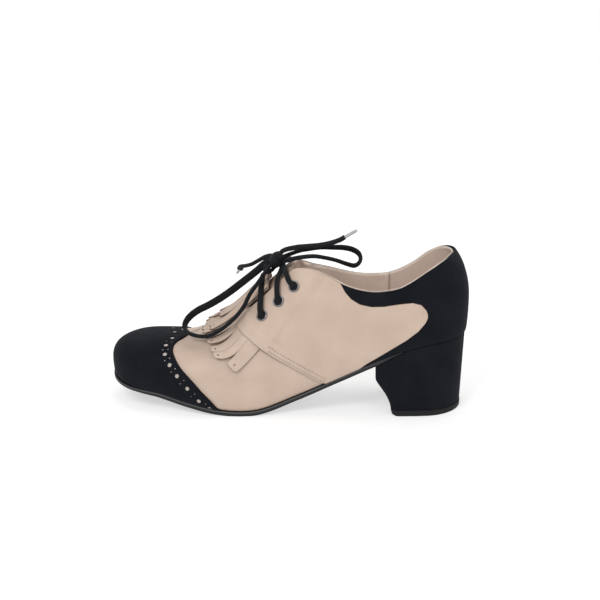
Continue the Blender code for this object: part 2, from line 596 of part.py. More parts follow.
def seat_frame(station, share, side):
    """A point of the last with its outward normal."""
    station, share = np.array([station]), np.array([share])
    here = last_point(station, share, side)[0]
    ahead = last_point(station + 0.5, share, side)[0] - last_point(station - 0.5, share, side)[0]
    up = last_point(station, share + 0.005, side)[0] - last_point(station, share - 0.005, side)[0]
    normal = np.cross(ahead, up) * side
    return here, normal / np.linalg.norm(normal)


def build_eyelets():
    """Rolled metal rings, three to a facing."""
    profile = [(EYELET_HOLE, 0.0), (EYELET_OUTER, 0.0), (EYELET_OUTER - 0.2, 0.7),
               (EYELET_OUTER - 0.7, EYELET_HIGH), (EYELET_HOLE + 0.3, EYELET_HIGH), (EYELET_HOLE, 0.6)]
    around, count = 16, len(profile)
    angles = np.arange(around) * 2 * math.pi / around
    points = [(r * math.cos(a), r * math.sin(a), z) for a in angles for r, z in profile]
    faces = [(i * count + j, ((i + 1) % around) * count + j, ((i + 1) % around) * count + (j + 1) % count,
              i * count + (j + 1) % count) for i in range(around) for j in range(count)]
    for name, side in (("lateral", -1), ("medial", 1)):
        for number, (station, share) in enumerate(EYELETS, 1):
            here, normal = seat_frame(station, share, side)
            ring = new_object(f"eyelet_{name}_{number}", points, faces, "eyelet_metal")
            turn = Vector(normal).to_track_quat("Z", "Y").to_matrix().to_4x4()
            ring.matrix_world = Matrix.Translation(Vector((here + normal * (LAYER_OUT + GAP)) * MM)) @ turn


def tube(name, route, radius, colour, smooth_by=4, sides=2):
    """A round cord on a curve read smoothly through its route's points."""
    route = np.array(route, float)
    table = np.column_stack([np.arange(len(route)), route])
    at = np.linspace(0, len(route) - 1, (len(route) - 1) * smooth_by + 1)
    line = smooth(table, at)
    curve = bpy.data.curves.new(name, "CURVE")
    curve.dimensions = "3D"
    spline = curve.splines.new("POLY")
    spline.points.add(len(line) - 1)
    for point, place in zip(spline.points, line * MM):
        point.co = (*place, 1.0)
    curve.bevel_depth = radius * MM
    curve.bevel_resolution = sides
    curve.use_fill_caps = True
    obj = bpy.data.objects.new(name, curve)
    bpy.context.scene.collection.objects.link(obj)
    curve.materials.append(finish(colour))
    return obj


def over_last(station, share, side, height):
    """A point at a height over the last's surface."""
    here, normal = seat_frame(station, min(share, 0.995), side)
    return here + normal * height


def build_lace_bars():
    """The lace between the eyelets: a straight bar at the front, and two that cross under the knot."""
    rest = LAYER_OUT + EYELET_HIGH + 2 * GAP + LACE_FLAT
    station, share = EYELETS[0]
    front = [over_last(station, s, -1, rest) for s in (share, 0.69)]
    middle = LAYER_OUT + GAP + LACE_FLAT + LACE_REST
    front += [over_last(station, s, -1, middle) for s in (0.78, 0.87, 0.95)]
    front += [over_last(station, s, 1, middle) for s in (0.95, 0.87, 0.78)]
    front += [over_last(station, s, 1, rest) for s in (0.69, share)]
    tube("lace_bar_front", front, LACE_FLAT, "lace_black", 2)
    arms = []
    meet = (EYELETS[1][0] + EYELETS[2][0]) / 2 + LACE_MEET
    for number in (1, 2):
        station, share = EYELETS[number]
        route = []
        for side in (-1, 1):
            arm = [over_last(station, share, side, rest)]
            for s, way, height in ((0.75, 0.45, rest), (0.87, 0.85, LACE_LOW + 0.8)):
                arm.append(over_last(station + (meet - station) * way, s, side, height))
            route += arm if side < 0 else [over_last(meet, 0.995, side, LACE_LOW)] + arm[::-1]
        arms.append((f"lace_arm_{number}", route))
    crossing = mesh_copy("lace_crossing", tube(*arms[0], LACE_FLAT, "lace_black", 2))
    other = mesh_copy("lace_second", tube(*arms[1], LACE_FLAT, "lace_black", 2))
    other.hide_render = True
    other.display_type = "WIRE"
    cut(crossing, other, "UNION")


def mesh_copy(name, curve_object):
    """The curve's evaluated mesh as an object of its own; the curve is removed."""
    bpy.context.view_layer.update()
    depsgraph = bpy.context.evaluated_depsgraph_get()
    mesh = bpy.data.meshes.new_from_object(curve_object.evaluated_get(depsgraph))
    mesh.name = name
    bpy.data.objects.remove(curve_object)
    bm = bmesh.new()
    bm.from_mesh(mesh)
    bmesh.ops.remove_doubles(bm, verts=bm.verts, dist=1e-6)
    bmesh.ops.recalc_face_normals(bm, faces=bm.faces)
    bm.to_mesh(mesh)
    bm.free()
    obj = bpy.data.objects.new(name, mesh)
    bpy.context.scene.collection.objects.link(obj)
    return obj


def build_bow():
    """The knot, its two loops and its two ends with their aglets."""
    bm = bmesh.new()
    bmesh.ops.create_icosphere(bm, subdivisions=2, radius=1.0)
    bm.transform(Matrix.Diagonal((*KNOT_SIZE, 1.0)))
    bm.transform(Matrix.Rotation(math.radians(-KNOT_TILT), 4, "Y"))
    bm.transform(Matrix.Translation(KNOT))
    points = [tuple(v.co) for v in bm.verts]
    faces = [[v.index for v in face.verts] for face in bm.faces]
    bm.free()
    new_object("lace_knot", points, faces, "lace_black")
    tube("lace_loop_toe", LOOP_TOE, LACE_ROUND, "lace_black", 2)
    tube("lace_loop_heel", LOOP_HEEL, LACE_ROUND, "lace_black", 2)
    for name, route in (("heel", END_HEEL), ("toe", END_TOE)):
        tube("lace_end_" + name, route, LACE_ROUND, "lace_black", 2)
        tip = np.array(route[-1])
        way = tip - np.array(route[-2])
        way /= np.linalg.norm(way)
        steps = (GAP, AGLET_LONG / 2, AGLET_LONG)
        tube("aglet_" + name, [tip + way * step for step in steps], AGLET_RADIUS, "aglet_grey", 1)


for existing in list(bpy.data.objects):
    bpy.data.objects.remove(existing)
build_upper()
build_toe_cap()
build_quarters()
build_counter()
build_tongue()
build_kiltie()
build_heel(build_sole())
build_insole()
build_top_piece()
build_eyelets()
build_lace_bars()
build_bow()
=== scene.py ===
"""The looks of a heeled oxford shoe for the left foot, built around its CAD parts.

Sizes are millimetres in this file and become metres when a mesh is made. The toe points along -X, the
lateral side faces -Y and +Z is up.
"""
import math

import bpy
import numpy as np
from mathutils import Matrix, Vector


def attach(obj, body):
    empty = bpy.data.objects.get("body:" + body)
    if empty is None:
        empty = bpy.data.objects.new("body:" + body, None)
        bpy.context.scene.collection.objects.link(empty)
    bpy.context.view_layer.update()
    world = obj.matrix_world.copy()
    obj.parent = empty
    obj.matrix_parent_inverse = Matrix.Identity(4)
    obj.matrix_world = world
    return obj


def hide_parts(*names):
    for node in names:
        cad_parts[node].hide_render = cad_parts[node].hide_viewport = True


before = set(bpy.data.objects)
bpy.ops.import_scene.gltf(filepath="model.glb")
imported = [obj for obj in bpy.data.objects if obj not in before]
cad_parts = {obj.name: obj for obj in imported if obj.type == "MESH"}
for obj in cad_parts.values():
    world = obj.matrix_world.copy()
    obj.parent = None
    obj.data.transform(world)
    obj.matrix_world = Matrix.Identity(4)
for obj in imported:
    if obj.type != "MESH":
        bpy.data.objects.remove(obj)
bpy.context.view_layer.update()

# The viewpoint of the photograph: level with a table, a little above the shoe, from its lateral side.
# The surround is a plain sweep of white card, lit through from behind, under three soft boxes.
MM = 0.001
VIEW_TARGET = (-85.0, 0.0, 70.0)
VIEW_AZIMUTH, VIEW_PITCH, VIEW_DISTANCE = 3.5, 16.5, 762.0
FOCAL_PIXELS, IMAGE_PIXELS, SENSOR, CLIP_END = 1131.0, 600.0, 36.0, 20000.0
SWEEP_WIDE, SWEEP_FRONT, SWEEP_BACK, SWEEP_HIGH, SWEEP_BEND = 6000.0, 2500.0, 1600.0, 2600.0, 900.0
CARD_COLOUR, CARD_ROUGH, CARD_GLOW = (0.52, 0.52, 0.52, 1.0), 0.9, 0.56
WORLD_COLOUR, WORLD_STRENGTH = (1.0, 1.0, 1.0, 1.0), 0.40
SOFT_BOXES = [      # name, place, size, watts
    ("key_box", (-700.0, -1100.0, 1300.0), 700.0, 13.0),
    ("fill_box", (900.0, -1200.0, 700.0), 900.0, 6.5),
    ("top_box", (-80.0, 300.0, 1500.0), 900.0, 6.0),
]


def card(width, front, back, high, bend, steps=24):
    """A sweep of card: flat from front to back - bend, a quarter circle of radius bend, then straight up."""
    turn = np.linspace(0, math.pi / 2, steps)
    y = np.concatenate([[-front], back - bend + bend * np.sin(turn), [back]])
    z = np.concatenate([[0.0], bend - bend * np.cos(turn), [high]])
    points = np.array([(x, b, c) for x in (-width / 2, width / 2) for b, c in zip(y, z)])
    count = len(y)
    faces = [(i + 1, i, i + count, i + count + 1) for i in range(count - 1)]
    mesh = bpy.data.meshes.new("sweep")
    mesh.from_pydata((points * MM).tolist(), [], faces)
    mesh.shade_smooth()
    return mesh


sweep = bpy.data.objects.new("sweep", card(SWEEP_WIDE, SWEEP_FRONT, SWEEP_BACK, SWEEP_HIGH, SWEEP_BEND))
bpy.context.scene.collection.objects.link(sweep)
card_finish = bpy.data.materials.new("pale_card")
card_finish.use_nodes = True
card_shader = card_finish.node_tree.nodes["Principled BSDF"]
card_shader.inputs["Base Color"].default_value = CARD_COLOUR
card_shader.inputs["Roughness"].default_value = CARD_ROUGH
card_shader.inputs["Emission Color"].default_value = WORLD_COLOUR
card_shader.inputs["Emission Strength"].default_value = CARD_GLOW
sweep.data.materials.append(card_finish)

world = bpy.data.worlds.new("studio")
world.use_nodes = True
world.node_tree.nodes["Background"].inputs["Color"].default_value = WORLD_COLOUR
world.node_tree.nodes["Background"].inputs["Strength"].default_value = WORLD_STRENGTH
bpy.context.scene.world = world
bpy.context.scene.view_settings.view_transform = "Standard"

for box_name, place, size, watts in SOFT_BOXES:
    lamp = bpy.data.lights.new(box_name, "AREA")
    lamp.size = size * MM
    lamp.energy = watts
    soft_box = bpy.data.objects.new(box_name, lamp)
    soft_box.location = Vector(place) * MM
    soft_box.rotation_euler = (Vector(VIEW_TARGET) - Vector(place)).to_track_quat("-Z", "Y").to_euler()
    bpy.context.scene.collection.objects.link(soft_box)

azimuth, pitch = math.radians(VIEW_AZIMUTH), math.radians(VIEW_PITCH)
away = Vector((math.sin(azimuth) * math.cos(pitch), -math.cos(azimuth) * math.cos(pitch), math.sin(pitch)))
camera = bpy.data.objects.new("camera", bpy.data.cameras.new("camera"))
camera.location = (Vector(VIEW_TARGET) + away * VIEW_DISTANCE) * MM
camera.rotation_euler = (-away).to_track_quat("-Z", "Y").to_euler()
camera.data.sensor_width = SENSOR
camera.data.lens = FOCAL_PIXELS / IMAGE_PIXELS * SENSOR
camera.data.clip_end = CLIP_END * MM
bpy.context.scene.collection.objects.link(camera)
bpy.context.scene.camera = camera

# Insole: a leather-covered board inside the upper, its sock glued on, dished a little under the heel.
# The last's sections are set out here, because every leather piece of the shoe is pulled over that last.
BODY, FAN = 180.0, 40.0
STATION_END = BODY + FAN
# station, feather reach, widest reach, feather height, widest height, top height, fullness
LATERAL_LAST = [
    (-40, 25.6, 26.8, 53.0, 76, 116, 2.0),
    (-20, 26.5, 29.0, 52.5, 74, 117, 2.1),
    (0, 28.0, 31.0, 49.5, 71, 135, 2.2),
    (30, 26.5, 31.0, 38.0, 62, 140, 2.2),
    (60, 25.5, 31.5, 23.5, 50, 128, 2.0),
    (85, 29.0, 35.0, 12.5, 37, 108, 1.9),
    (113, 37.0, 41.5, 3.7, 23, 80, 1.9),
    (138, 39.5, 43.0, 4.2, 19, 57, 2.0),
    (158, 38.0, 41.5, 8.0, 20, 46, 2.2),
    (180, 33.0, 36.0, 12.5, 23, 43.5, 2.5),
    (200, 33.0, 35.0, 16.0, 26, 43.5, 2.6),
    (220, 31.5, 33.5, 19.5, 29, 43.5, 2.7),
]
MEDIAL_LAST = [
    (-40, 25.6, 26.8, 53.0, 76, 116, 2.0),
    (-20, 26.5, 29.0, 52.5, 74, 117, 2.1),
    (0, 27.5, 30.5, 49.5, 71, 135, 2.2),
    (30, 24.0, 29.5, 38.0, 62, 140, 2.2),
    (60, 19.0, 29.0, 24.5, 52, 128, 2.0),
    (85, 20.0, 30.5, 13.5, 41, 108, 1.9),
    (113, 27.5, 35.0, 3.7, 27, 80, 1.9),
    (138, 33.0, 38.0, 4.2, 21, 57, 2.0),
    (158, 33.5, 37.0, 8.0, 21, 46, 2.2),
    (180, 31.0, 34.0, 12.5, 23, 43.5, 2.5),
    (200, 32.0, 34.5, 16.0, 26, 43.5, 2.6),
    (220, 31.5, 33.5, 19.5, 29, 43.5, 2.7),
]
# station, how far the ridge line lies to the medial side
RIDGE = [(-40, 0.0), (0, 0.0), (60, 0.0), (100, 1.0), (140, 3.0), (180, 5.0), (220, 5.0)]
LOW_SHARE = 0.25        # the part of a section under its widest point
WALL_IN, WALL_OUT = -2.55, -0.75        # inner and outer faces of the vamp and its lining, from the last
INSOLE_THICK, SOCK_DISH, SOCK_MARGIN, SOCK_CLEAR = 2.0, 0.35, 3.0, 0.2
HEEL_DISH, HEEL_DISH_RUN = 1.5, 45.0        # how much deeper the dish is under the heel, and how far it runs
SOCK_COLOUR, SOCK_PATCH, SOCK_ROUGH = (0.46, 0.35, 0.29), (0.37, 0.27, 0.22), 0.48


def smooth(table, at):
    """Cubic curves through a table's rows: the columns after the first, at positions in the first."""
    rows = np.array(table, float)
    x, y = rows[:, 0], rows[:, 1:]
    step = np.diff(x)[:, None]
    slope = np.diff(y, axis=0) / step
    tangent = np.zeros_like(y)
    tangent[1:-1] = (slope[:-1] * step[1:] + slope[1:] * step[:-1]) / (step[1:] + step[:-1])
    tangent[0], tangent[-1] = slope[0], slope[-1]
    at = np.clip(np.asarray(at, float), x[0], x[-1])
    i = np.clip(np.searchsorted(x, at, side="right") - 1, 0, len(x) - 2)
    span = (x[i + 1] - x[i])[..., None]
    t = (at - x[i])[..., None] / span
    return ((2 * t**3 - 3 * t**2 + 1) * y[i] + (t**3 - 2 * t**2 + t) * span * tangent[i]
            + (3 * t**2 - 2 * t**3) * y[i + 1] + (t**3 - t**2) * span * tangent[i + 1])


def straight(table, at):
    """Straight lines through a table's rows: its second column, at positions in its first."""
    return np.interp(at, *np.array(table, float).T)


def ease(value):
    """Smooth step from 0 to 1: 3 t squared less 2 t cubed."""
    t = np.clip(value, 0.0, 1.0)
    return t * t * (3 - 2 * t)


def sections(station, across):
    """The last's five section sizes and fullness, lateral where across is negative, else medial."""
    lateral = np.asarray(across)[..., None] < 0
    return np.moveaxis(np.where(lateral, smooth(LATERAL_LAST, station), smooth(MEDIAL_LAST, station)), -1, 0)


def ray(station, side):
    """Where a section starts on the ridge line, and its plan direction: fans of rays at the heel and toe."""
    angle = np.radians(np.where(station < 0, (station + FAN) / FAN * 90,
                                np.where(station > BODY, 90 + (station - BODY) / FAN * 90, 90)))
    start = np.stack([-np.clip(station, 0, BODY), smooth(RIDGE, station)[..., 0]], -1)
    return start, np.stack([np.cos(angle), side * np.sin(angle)], -1)


def last_point(station, across):
    """The last: across runs from -1 at the lateral sole over 0 on the ridge to 1 at the medial sole. A
    section is a quarter ellipse up to the widest point, then cos and sin raised to 2 / fullness."""
    station, across = np.broadcast_arrays(np.asarray(station, float), np.asarray(across, float))
    feather, widest, low, mid, top, full = sections(station, across)
    share = 1 - np.abs(across)
    under = np.clip(1 - share / LOW_SHARE, 0, 1) * math.pi / 2
    over = np.clip((share - LOW_SHARE) / (1 - LOW_SHARE), 0, 1) * math.pi / 2
    is_low = share < LOW_SHARE
    reach = np.where(is_low, feather + (widest - feather) * np.cos(under),
                     widest * np.clip(np.cos(over), 0, 1) ** (2 / full))
    height = np.where(is_low, mid - (mid - low) * np.sin(under),
                      mid + (top - mid) * np.sin(over) ** (2 / full))
    start, out = ray(station, np.where(across < 0, -1.0, 1.0))
    return np.concatenate([start + reach[..., None] * out, height[..., None]], -1)


def last_normal(station, across):
    """Its outward normal: slope along crossed with slope across, upright on the ridge, level at the sole."""
    station, across = np.broadcast_arrays(np.asarray(station, float), np.asarray(across, float))
    side = np.where(across < 0, -1.0, 1.0)
    share = 1 - np.abs(across)
    place = side * (1 - np.clip(share, 0.004, 0.985))
    ahead = last_point(station + 0.4, place) - last_point(station - 0.4, place)
    up = last_point(station, place - side * 0.004) - last_point(station, place + side * 0.004)
    normal = np.cross(ahead, up) * side[..., None]
    upright = np.clip((1 - share) / 0.015, 0, 1)
    normal[..., 1] *= upright
    normal[..., 0] *= np.where((station > BODY) | (station < 0), upright, 1.0)
    normal[..., 2] *= ease(share / 0.08)
    return normal / np.linalg.norm(normal, axis=-1, keepdims=True)


def layer(station, across, height):
    """The surface at a height over the last, along its normal."""
    return last_point(station, across) + last_normal(station, across) * np.asarray(height)[..., None]


def grid_triangles(rows, columns):
    """Two triangles for each cell of a grid whose points run columns fastest."""
    i, j = np.meshgrid(np.arange(rows - 1), np.arange(columns - 1), indexing="ij")
    a = (i * columns + j).ravel()
    return np.concatenate([np.stack([a, a + columns, a + columns + 1], -1),
                           np.stack([a, a + columns + 1, a + 1], -1)])


def rim(faces, size):
    """Triangles from a sheet's border to its copy, whose points are numbered size higher. A border edge is
    one that no other face runs the other way."""
    edges = np.concatenate([faces[:, [0, 1]], faces[:, [1, 2]], faces[:, [2, 0]]])
    border = edges[~np.isin(edges[:, 1] * size + edges[:, 0], edges[:, 0] * size + edges[:, 1])]
    a, b = border[:, 0], border[:, 1]
    return np.concatenate([np.stack([b, a, a + size], -1), np.stack([b, a + size, b + size], -1)])


def welded(points, triangles):
    """One number for all points within a hundredth of a millimetre, the triangles that keep three corners,
    and which those are."""
    _, first, again = np.unique(np.round(points / 0.01).astype(int), axis=0, return_index=True,
                                return_inverse=True)
    triangles = again.ravel()[triangles]
    whole = ((triangles[:, 0] != triangles[:, 1]) & (triangles[:, 1] != triangles[:, 2])
             & (triangles[:, 2] != triangles[:, 0]))
    return first, triangles[whole], whole


def piece(name, points, triangles, finish, corner_uv=None, marks=None):
    """A visible piece that rides on the shoe: its faces turned outwards, smooth, with its UV map and its
    marks, which are values from 0 to 1 at its points."""
    points, triangles = np.asarray(points, float), np.asarray(triangles)
    a, b, c = (points[triangles[:, k]] for k in range(3))
    if np.einsum("ij,ij->i", a, np.cross(b, c)).sum() < 0:
        triangles = triangles[:, ::-1]
        corner_uv = None if corner_uv is None else corner_uv[:, ::-1]
    mesh = bpy.data.meshes.new(name)
    mesh.from_pydata((points * MM).tolist(), [], triangles.tolist())
    if corner_uv is not None:
        mesh.uv_layers.new(name="UVMap").data.foreach_set("uv", np.asarray(corner_uv, float).ravel())
    for mark, values in (marks or {}).items():
        mesh.attributes.new(mark, "FLOAT", "POINT").data.foreach_set("value", np.asarray(values, float))
    mesh.shade_smooth()
    mesh.materials.append(finish)
    obj = bpy.data.objects.new(name, mesh)
    bpy.context.scene.collection.objects.link(obj)
    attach(obj, "root")
    return obj


def shell(name, grids, finish, marks=None):
    """A leather piece on the last: each grid gives station, across, the height of its back and of its face.
    Grids that share a line are welded there, and a rim joins face and back round the border."""
    base, heights, triangles, count = [], [], [], 0
    for station, across, inner, outer in grids:
        station, across, inner, outer = np.broadcast_arrays(station, across, inner, outer)
        base.append(np.stack([station, across], -1).reshape(-1, 2))
        heights.append(np.stack([inner, outer], -1).reshape(-1, 2))
        triangles.append(grid_triangles(*station.shape) + count)
        count += station.size
    base, heights = np.concatenate(base), np.concatenate(heights)
    ground = last_point(base[:, 0], base[:, 1])
    first, faces, _ = welded(ground, np.concatenate(triangles))
    normal = last_normal(base[first, 0], base[first, 1])
    back = ground[first] + normal * heights[first, :1]
    face = ground[first] + normal * heights[first, 1:]
    size = len(first)
    carried = {k: np.tile(np.concatenate([np.ravel(v) for v in values])[first], 2)
               for k, values in (marks or {}).items()}
    triangles = np.concatenate([faces, faces[:, ::-1] + size, rim(faces, size)])
    return piece(name, np.concatenate([face, back]), triangles, finish, marks=carried)


def steps_with_edges(length, step, edge=(0.08, 0.2, 0.38, 0.65, 1.1)):
    """Shares from 0 to 1 along a length, an even step apart, and closer by both ends for a rolled edge."""
    near = np.concatenate([[0.0], edge])
    middle = np.linspace(near[-1], length - near[-1], max(2, int(round((length - 2 * near[-1]) / step)) + 1))
    return np.concatenate([near[:-1], middle, (length - near[:-1])[::-1]]) / length


def rolled(distance, radius):
    """How far a cut edge of a given radius has dropped at a distance from it: a quarter circle."""
    t = np.clip(distance / radius, 0, 1)
    return radius * (1 - np.sqrt(1 - (1 - t) ** 2))


def edge_distance(station, across, sides="nsew"):
    """Distance over the surface from each grid point to the nearest of the grid's named borders."""
    ground = last_point(station, across)
    along = np.concatenate([np.zeros((1, station.shape[1])),
                            np.cumsum(np.linalg.norm(np.diff(ground, axis=0), axis=-1), axis=0)])
    up = np.concatenate([np.zeros((station.shape[0], 1)),
                         np.cumsum(np.linalg.norm(np.diff(ground, axis=1), axis=-1), axis=1)], axis=1)
    ways = {"w": along, "e": along[-1] - along, "s": up, "n": up[:, -1:] - up}
    return np.min([ways[k] for k in sides], axis=0)


def finish_of(name, roughness, **fixed):
    """A Principled material; what is the same all over a surface is set on the shader's own sockets."""
    material = bpy.data.materials.new(name)
    material.use_nodes = True
    tree = material.node_tree
    shader = tree.nodes["Principled BSDF"]
    shader.inputs["Roughness"].default_value = roughness
    for socket, value in fixed.items():
        shader.inputs[socket.replace("_", " ")].default_value = value
    return material, tree, shader


def texture(tree, kind, scale, stretch=(1, 1, 1), **sockets):
    """A Noise or Voronoi texture on the piece's own coordinates; scale counts features to the metre."""
    where = tree.nodes.new("ShaderNodeTexCoord")
    mapping = tree.nodes.new("ShaderNodeMapping")
    mapping.inputs["Scale"].default_value = stretch
    node = tree.nodes.new("ShaderNodeTex" + kind)
    node.inputs["Scale"].default_value = scale
    for socket, value in sockets.items():
        node.inputs[socket].default_value = value
    tree.links.new(where.outputs["Object"], mapping.inputs["Vector"])
    tree.links.new(mapping.outputs["Vector"], node.inputs["Vector"])
    return node


def blend(tree, factor, first, second):
    """A colour between two, by a factor's output; each colour is a value or another node's output."""
    mix = tree.nodes.new("ShaderNodeMix")
    mix.data_type = "RGBA"
    tree.links.new(factor, mix.inputs["Factor"])
    for slot, colour in (("A", first), ("B", second)):
        socket = next(s for s in mix.inputs if s.name == slot and s.type == "RGBA")
        if isinstance(colour, tuple):
            socket.default_value = (*colour, 1.0)
        else:
            tree.links.new(colour, socket)
    return next(s for s in mix.outputs if s.type == "RGBA")


def spread(tree, value, low, high, to_low=0.0, to_high=1.0):
    """A value stretched so that low to high covers to_low to to_high, and held there beyond."""
    node = tree.nodes.new("ShaderNodeMapRange")
    tree.links.new(value, node.inputs["Value"])
    for socket, number in zip(("From Min", "From Max", "To Min", "To Max"), (low, high, to_low, to_high)):
        node.inputs[socket].default_value = number
    return node.outputs["Result"]


def mottled(tree, shader, node, first, second):
    """The shader's colour, between two tones by a texture's value."""
    tree.links.new(blend(tree, node.outputs["Fac"], first, second), shader.inputs["Base Color"])


def marked(tree, shader, mark, colour, low=0.0, high=1.0):
    """The shader's colour so far, turned into another where the mesh's own mark rises from low to high."""
    value = tree.nodes.new("ShaderNodeAttribute")
    value.attribute_name = mark
    so_far = shader.inputs["Base Color"].links[0].from_socket
    tree.links.new(blend(tree, spread(tree, value.outputs["Fac"], low, high), so_far, colour),
                   shader.inputs["Base Color"])


def bump(tree, shader, height, depth, strength=1.0):
    """Relief of a depth in millimetres, laid over any relief that the shader already has."""
    node = tree.nodes.new("ShaderNodeBump")
    node.inputs["Strength"].default_value = strength
    node.inputs["Distance"].default_value = depth * MM
    tree.links.new(height, node.inputs["Height"])
    if shader.inputs["Normal"].is_linked:
        tree.links.new(shader.inputs["Normal"].links[0].from_socket, node.inputs["Normal"])
    tree.links.new(node.outputs["Normal"], shader.inputs["Normal"])


def leather(name, colour, patch, roughness, patch_size, grain_size=0.8, grain_depth=0.05):
    """Leather: two tones in soft patches, with pores and a fine grain; sizes in millimetres."""
    material, tree, shader = finish_of(name, roughness)
    patches = texture(tree, "Noise", 1000 / patch_size, Detail=3.0, Roughness=0.5)
    tone = blend(tree, spread(tree, patches.outputs["Fac"], 0.35, 0.65), colour, patch)
    tree.links.new(tone, shader.inputs["Base Color"])
    pores = texture(tree, "Voronoi", 1000 / grain_size, Randomness=1.0)
    bump(tree, shader, pores.outputs["Distance"], grain_depth, 0.6)
    folds = texture(tree, "Noise", 1000 / (grain_size * 7), Detail=2.0)
    bump(tree, shader, folds.outputs["Fac"], grain_depth * 1.6, 0.5)
    rough = texture(tree, "Noise", 1000 / (patch_size * 0.6), Detail=2.0)
    tree.links.new(spread(tree, rough.outputs["Fac"], 0.3, 0.7, roughness - 0.05, roughness + 0.06),
                   shader.inputs["Roughness"])
    return material, tree, shader


def bed_height(station, low, out):
    """The feather line's height at the edge, and on the middle line the mean of both sides' heights where the
    section's ray starts: middle + (low - middle) out^2, so that a fan's rays all meet at one height."""
    root = np.clip(station, 0, BODY)
    lateral_low, medial_low = (sections(root, np.full(np.shape(root), side))[2] for side in (-1.0, 1.0))
    middle = (lateral_low + medial_low) / 2
    return middle + (low - middle) * out**2


def foot_bed(height, margin, steps=14):
    """A bed inside the upper: each side is a grid from the middle line out to the feather line less a margin,
    sunk by a dish that fades out at the edge and is deeper under the heel."""
    station = np.concatenate([np.linspace(-FAN, 0, 16), np.linspace(4, BODY, 90),
                              np.linspace(BODY + 2.5, STATION_END, 16)])
    out = np.linspace(0, 1, steps)
    points, triangles = [], []
    for side in (-1.0, 1.0):
        s = np.repeat(station, steps)
        feather, _, low, *_ = sections(s, np.full(len(s), side))
        start, way = ray(s, side)
        t = np.tile(out, len(station))
        plan = start + (feather - margin)[:, None] * t[:, None] * way
        dish = SOCK_DISH * (1 - t**2) * (1 + HEEL_DISH * ease(1 - np.maximum(s, 0) / HEEL_DISH_RUN))
        points.append(np.column_stack([plan, bed_height(s, low, t) + height - dish]))
        triangles.append(grid_triangles(len(station), steps)[:, ::int(side)] + len(points[0]) * (side > 0))
    first, faces, _ = welded(np.concatenate(points), np.concatenate(triangles))
    return np.concatenate(points)[first], faces


sock_finish, _, _ = leather("sock_leather", SOCK_COLOUR, SOCK_PATCH, SOCK_ROUGH, patch_size=26,
                            grain_size=0.6)
sock_top, sock_faces = foot_bed(INSOLE_THICK, SOCK_MARGIN)
sock_low = sock_top - (0, 0, INSOLE_THICK - SOCK_CLEAR)
sock_count = len(sock_top)
insole = piece("insole_sock", np.concatenate([sock_top, sock_low]),
               np.concatenate([sock_faces, sock_faces[:, ::-1] + sock_count, rim(sock_faces, sock_count)]),
               sock_finish)
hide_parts("insole")

# Lining: thin rose-beige leather glued inside the upper, in two pieces that meet in an upright seam.
# It is turned over the collar's edge, where a narrow bead shows all round the opening.
TOP_LINE = [        # station, lateral height, medial height
    (-40, 107.0, 107.0), (-26, 106.8, 106.6), (-14, 105.8, 104.6), (-6, 103.2, 101.6), (0, 99.6, 97.6),
    (7, 94.8, 91.8), (13, 90.8, 88.0), (19, 87.6, 85.0), (26, 85.8, 82.8), (34, 84.8, 82.1),
    (45, 85.9, 82.4), (55, 88.9, 84.2), (64, 93.4, 86.6), (71, 95.8, 88.4), (77, 97.2, 89.9),
    (84, 97.1, 92.6), (90, 94.2, 94.0),
]
FACING = [          # station, share of the way up
    (90, 0.758), (112, 0.760), (116, 0.768), (119, 0.800), (121, 0.870), (121.8, 0.940), (122, 1.0),
]
FACING_START, FACING_SHARE, FACING_TURN = 90.0, 0.76, 6.0
LINING_OUT = -1.65
SEAM_STATION, SEAM_HIGH, SEAM_WIDE, SEAM_LINE, SEAM_DARK = 26.0, 0.55, 1.0, 0.5, 0.8
WRINKLE_HIGH, WRINKLE_TURN, WRINKLE_LEAN, WRINKLE_FROM, WRINKLE_RUN = 0.55, 0.8, 6.0, 55.0, 12.0
WRINKLE_SHARE, WRINKLE_FADE = 0.45, 0.2
BEAD_WIDE, BEAD_THICK, BEAD_DEEP, BEAD_ROUGH = 1.06, 0.76, -1.9, 0.4
LINING_COLOUR, LINING_PATCH, LINING_ROUGH = (0.83, 0.70, 0.605), (0.74, 0.60, 0.515), 0.42
BACK_COLOUR, BEAD_COLOUR, SEAM_COLOUR = (0.69, 0.575, 0.51), (0.54, 0.445, 0.36), (0.30, 0.21, 0.17)


def share_of_height(station, height, side):
    """The share up a section at which the last reaches a height: the section's two curves turned round."""
    _, _, low, mid, top, full = sections(station, np.full(np.shape(station), float(side)))
    over = np.arcsin(np.clip((height - mid) / (top - mid), 0, 1) ** (full / 2))
    under = np.arcsin(np.clip((mid - height) / (mid - low), 0, 1))
    return np.where(height > mid, LOW_SHARE + (1 - LOW_SHARE) * over / (math.pi / 2),
                    LOW_SHARE * (1 - under / (math.pi / 2)))


def opening_share(station, side):
    """Where the upper ends: at the collar's top line, then along the facing, and at the ridge past the
    throat."""
    station = np.asarray(station, float)
    collar = share_of_height(station, smooth(TOP_LINE, station)[..., 0 if side < 0 else 1], side)
    part = ease((station - (FACING_START - FACING_TURN)) / FACING_TURN)
    return collar * (1 - part) + straight(FACING, station) * part


def side_grid(station, low, high, side, rows):
    """A grid over one side between two shares of the way up, both functions of the station."""
    share = low[:, None] + (high - low)[:, None] * rows
    return np.broadcast_to(station[:, None], share.shape), side * (1 - share)


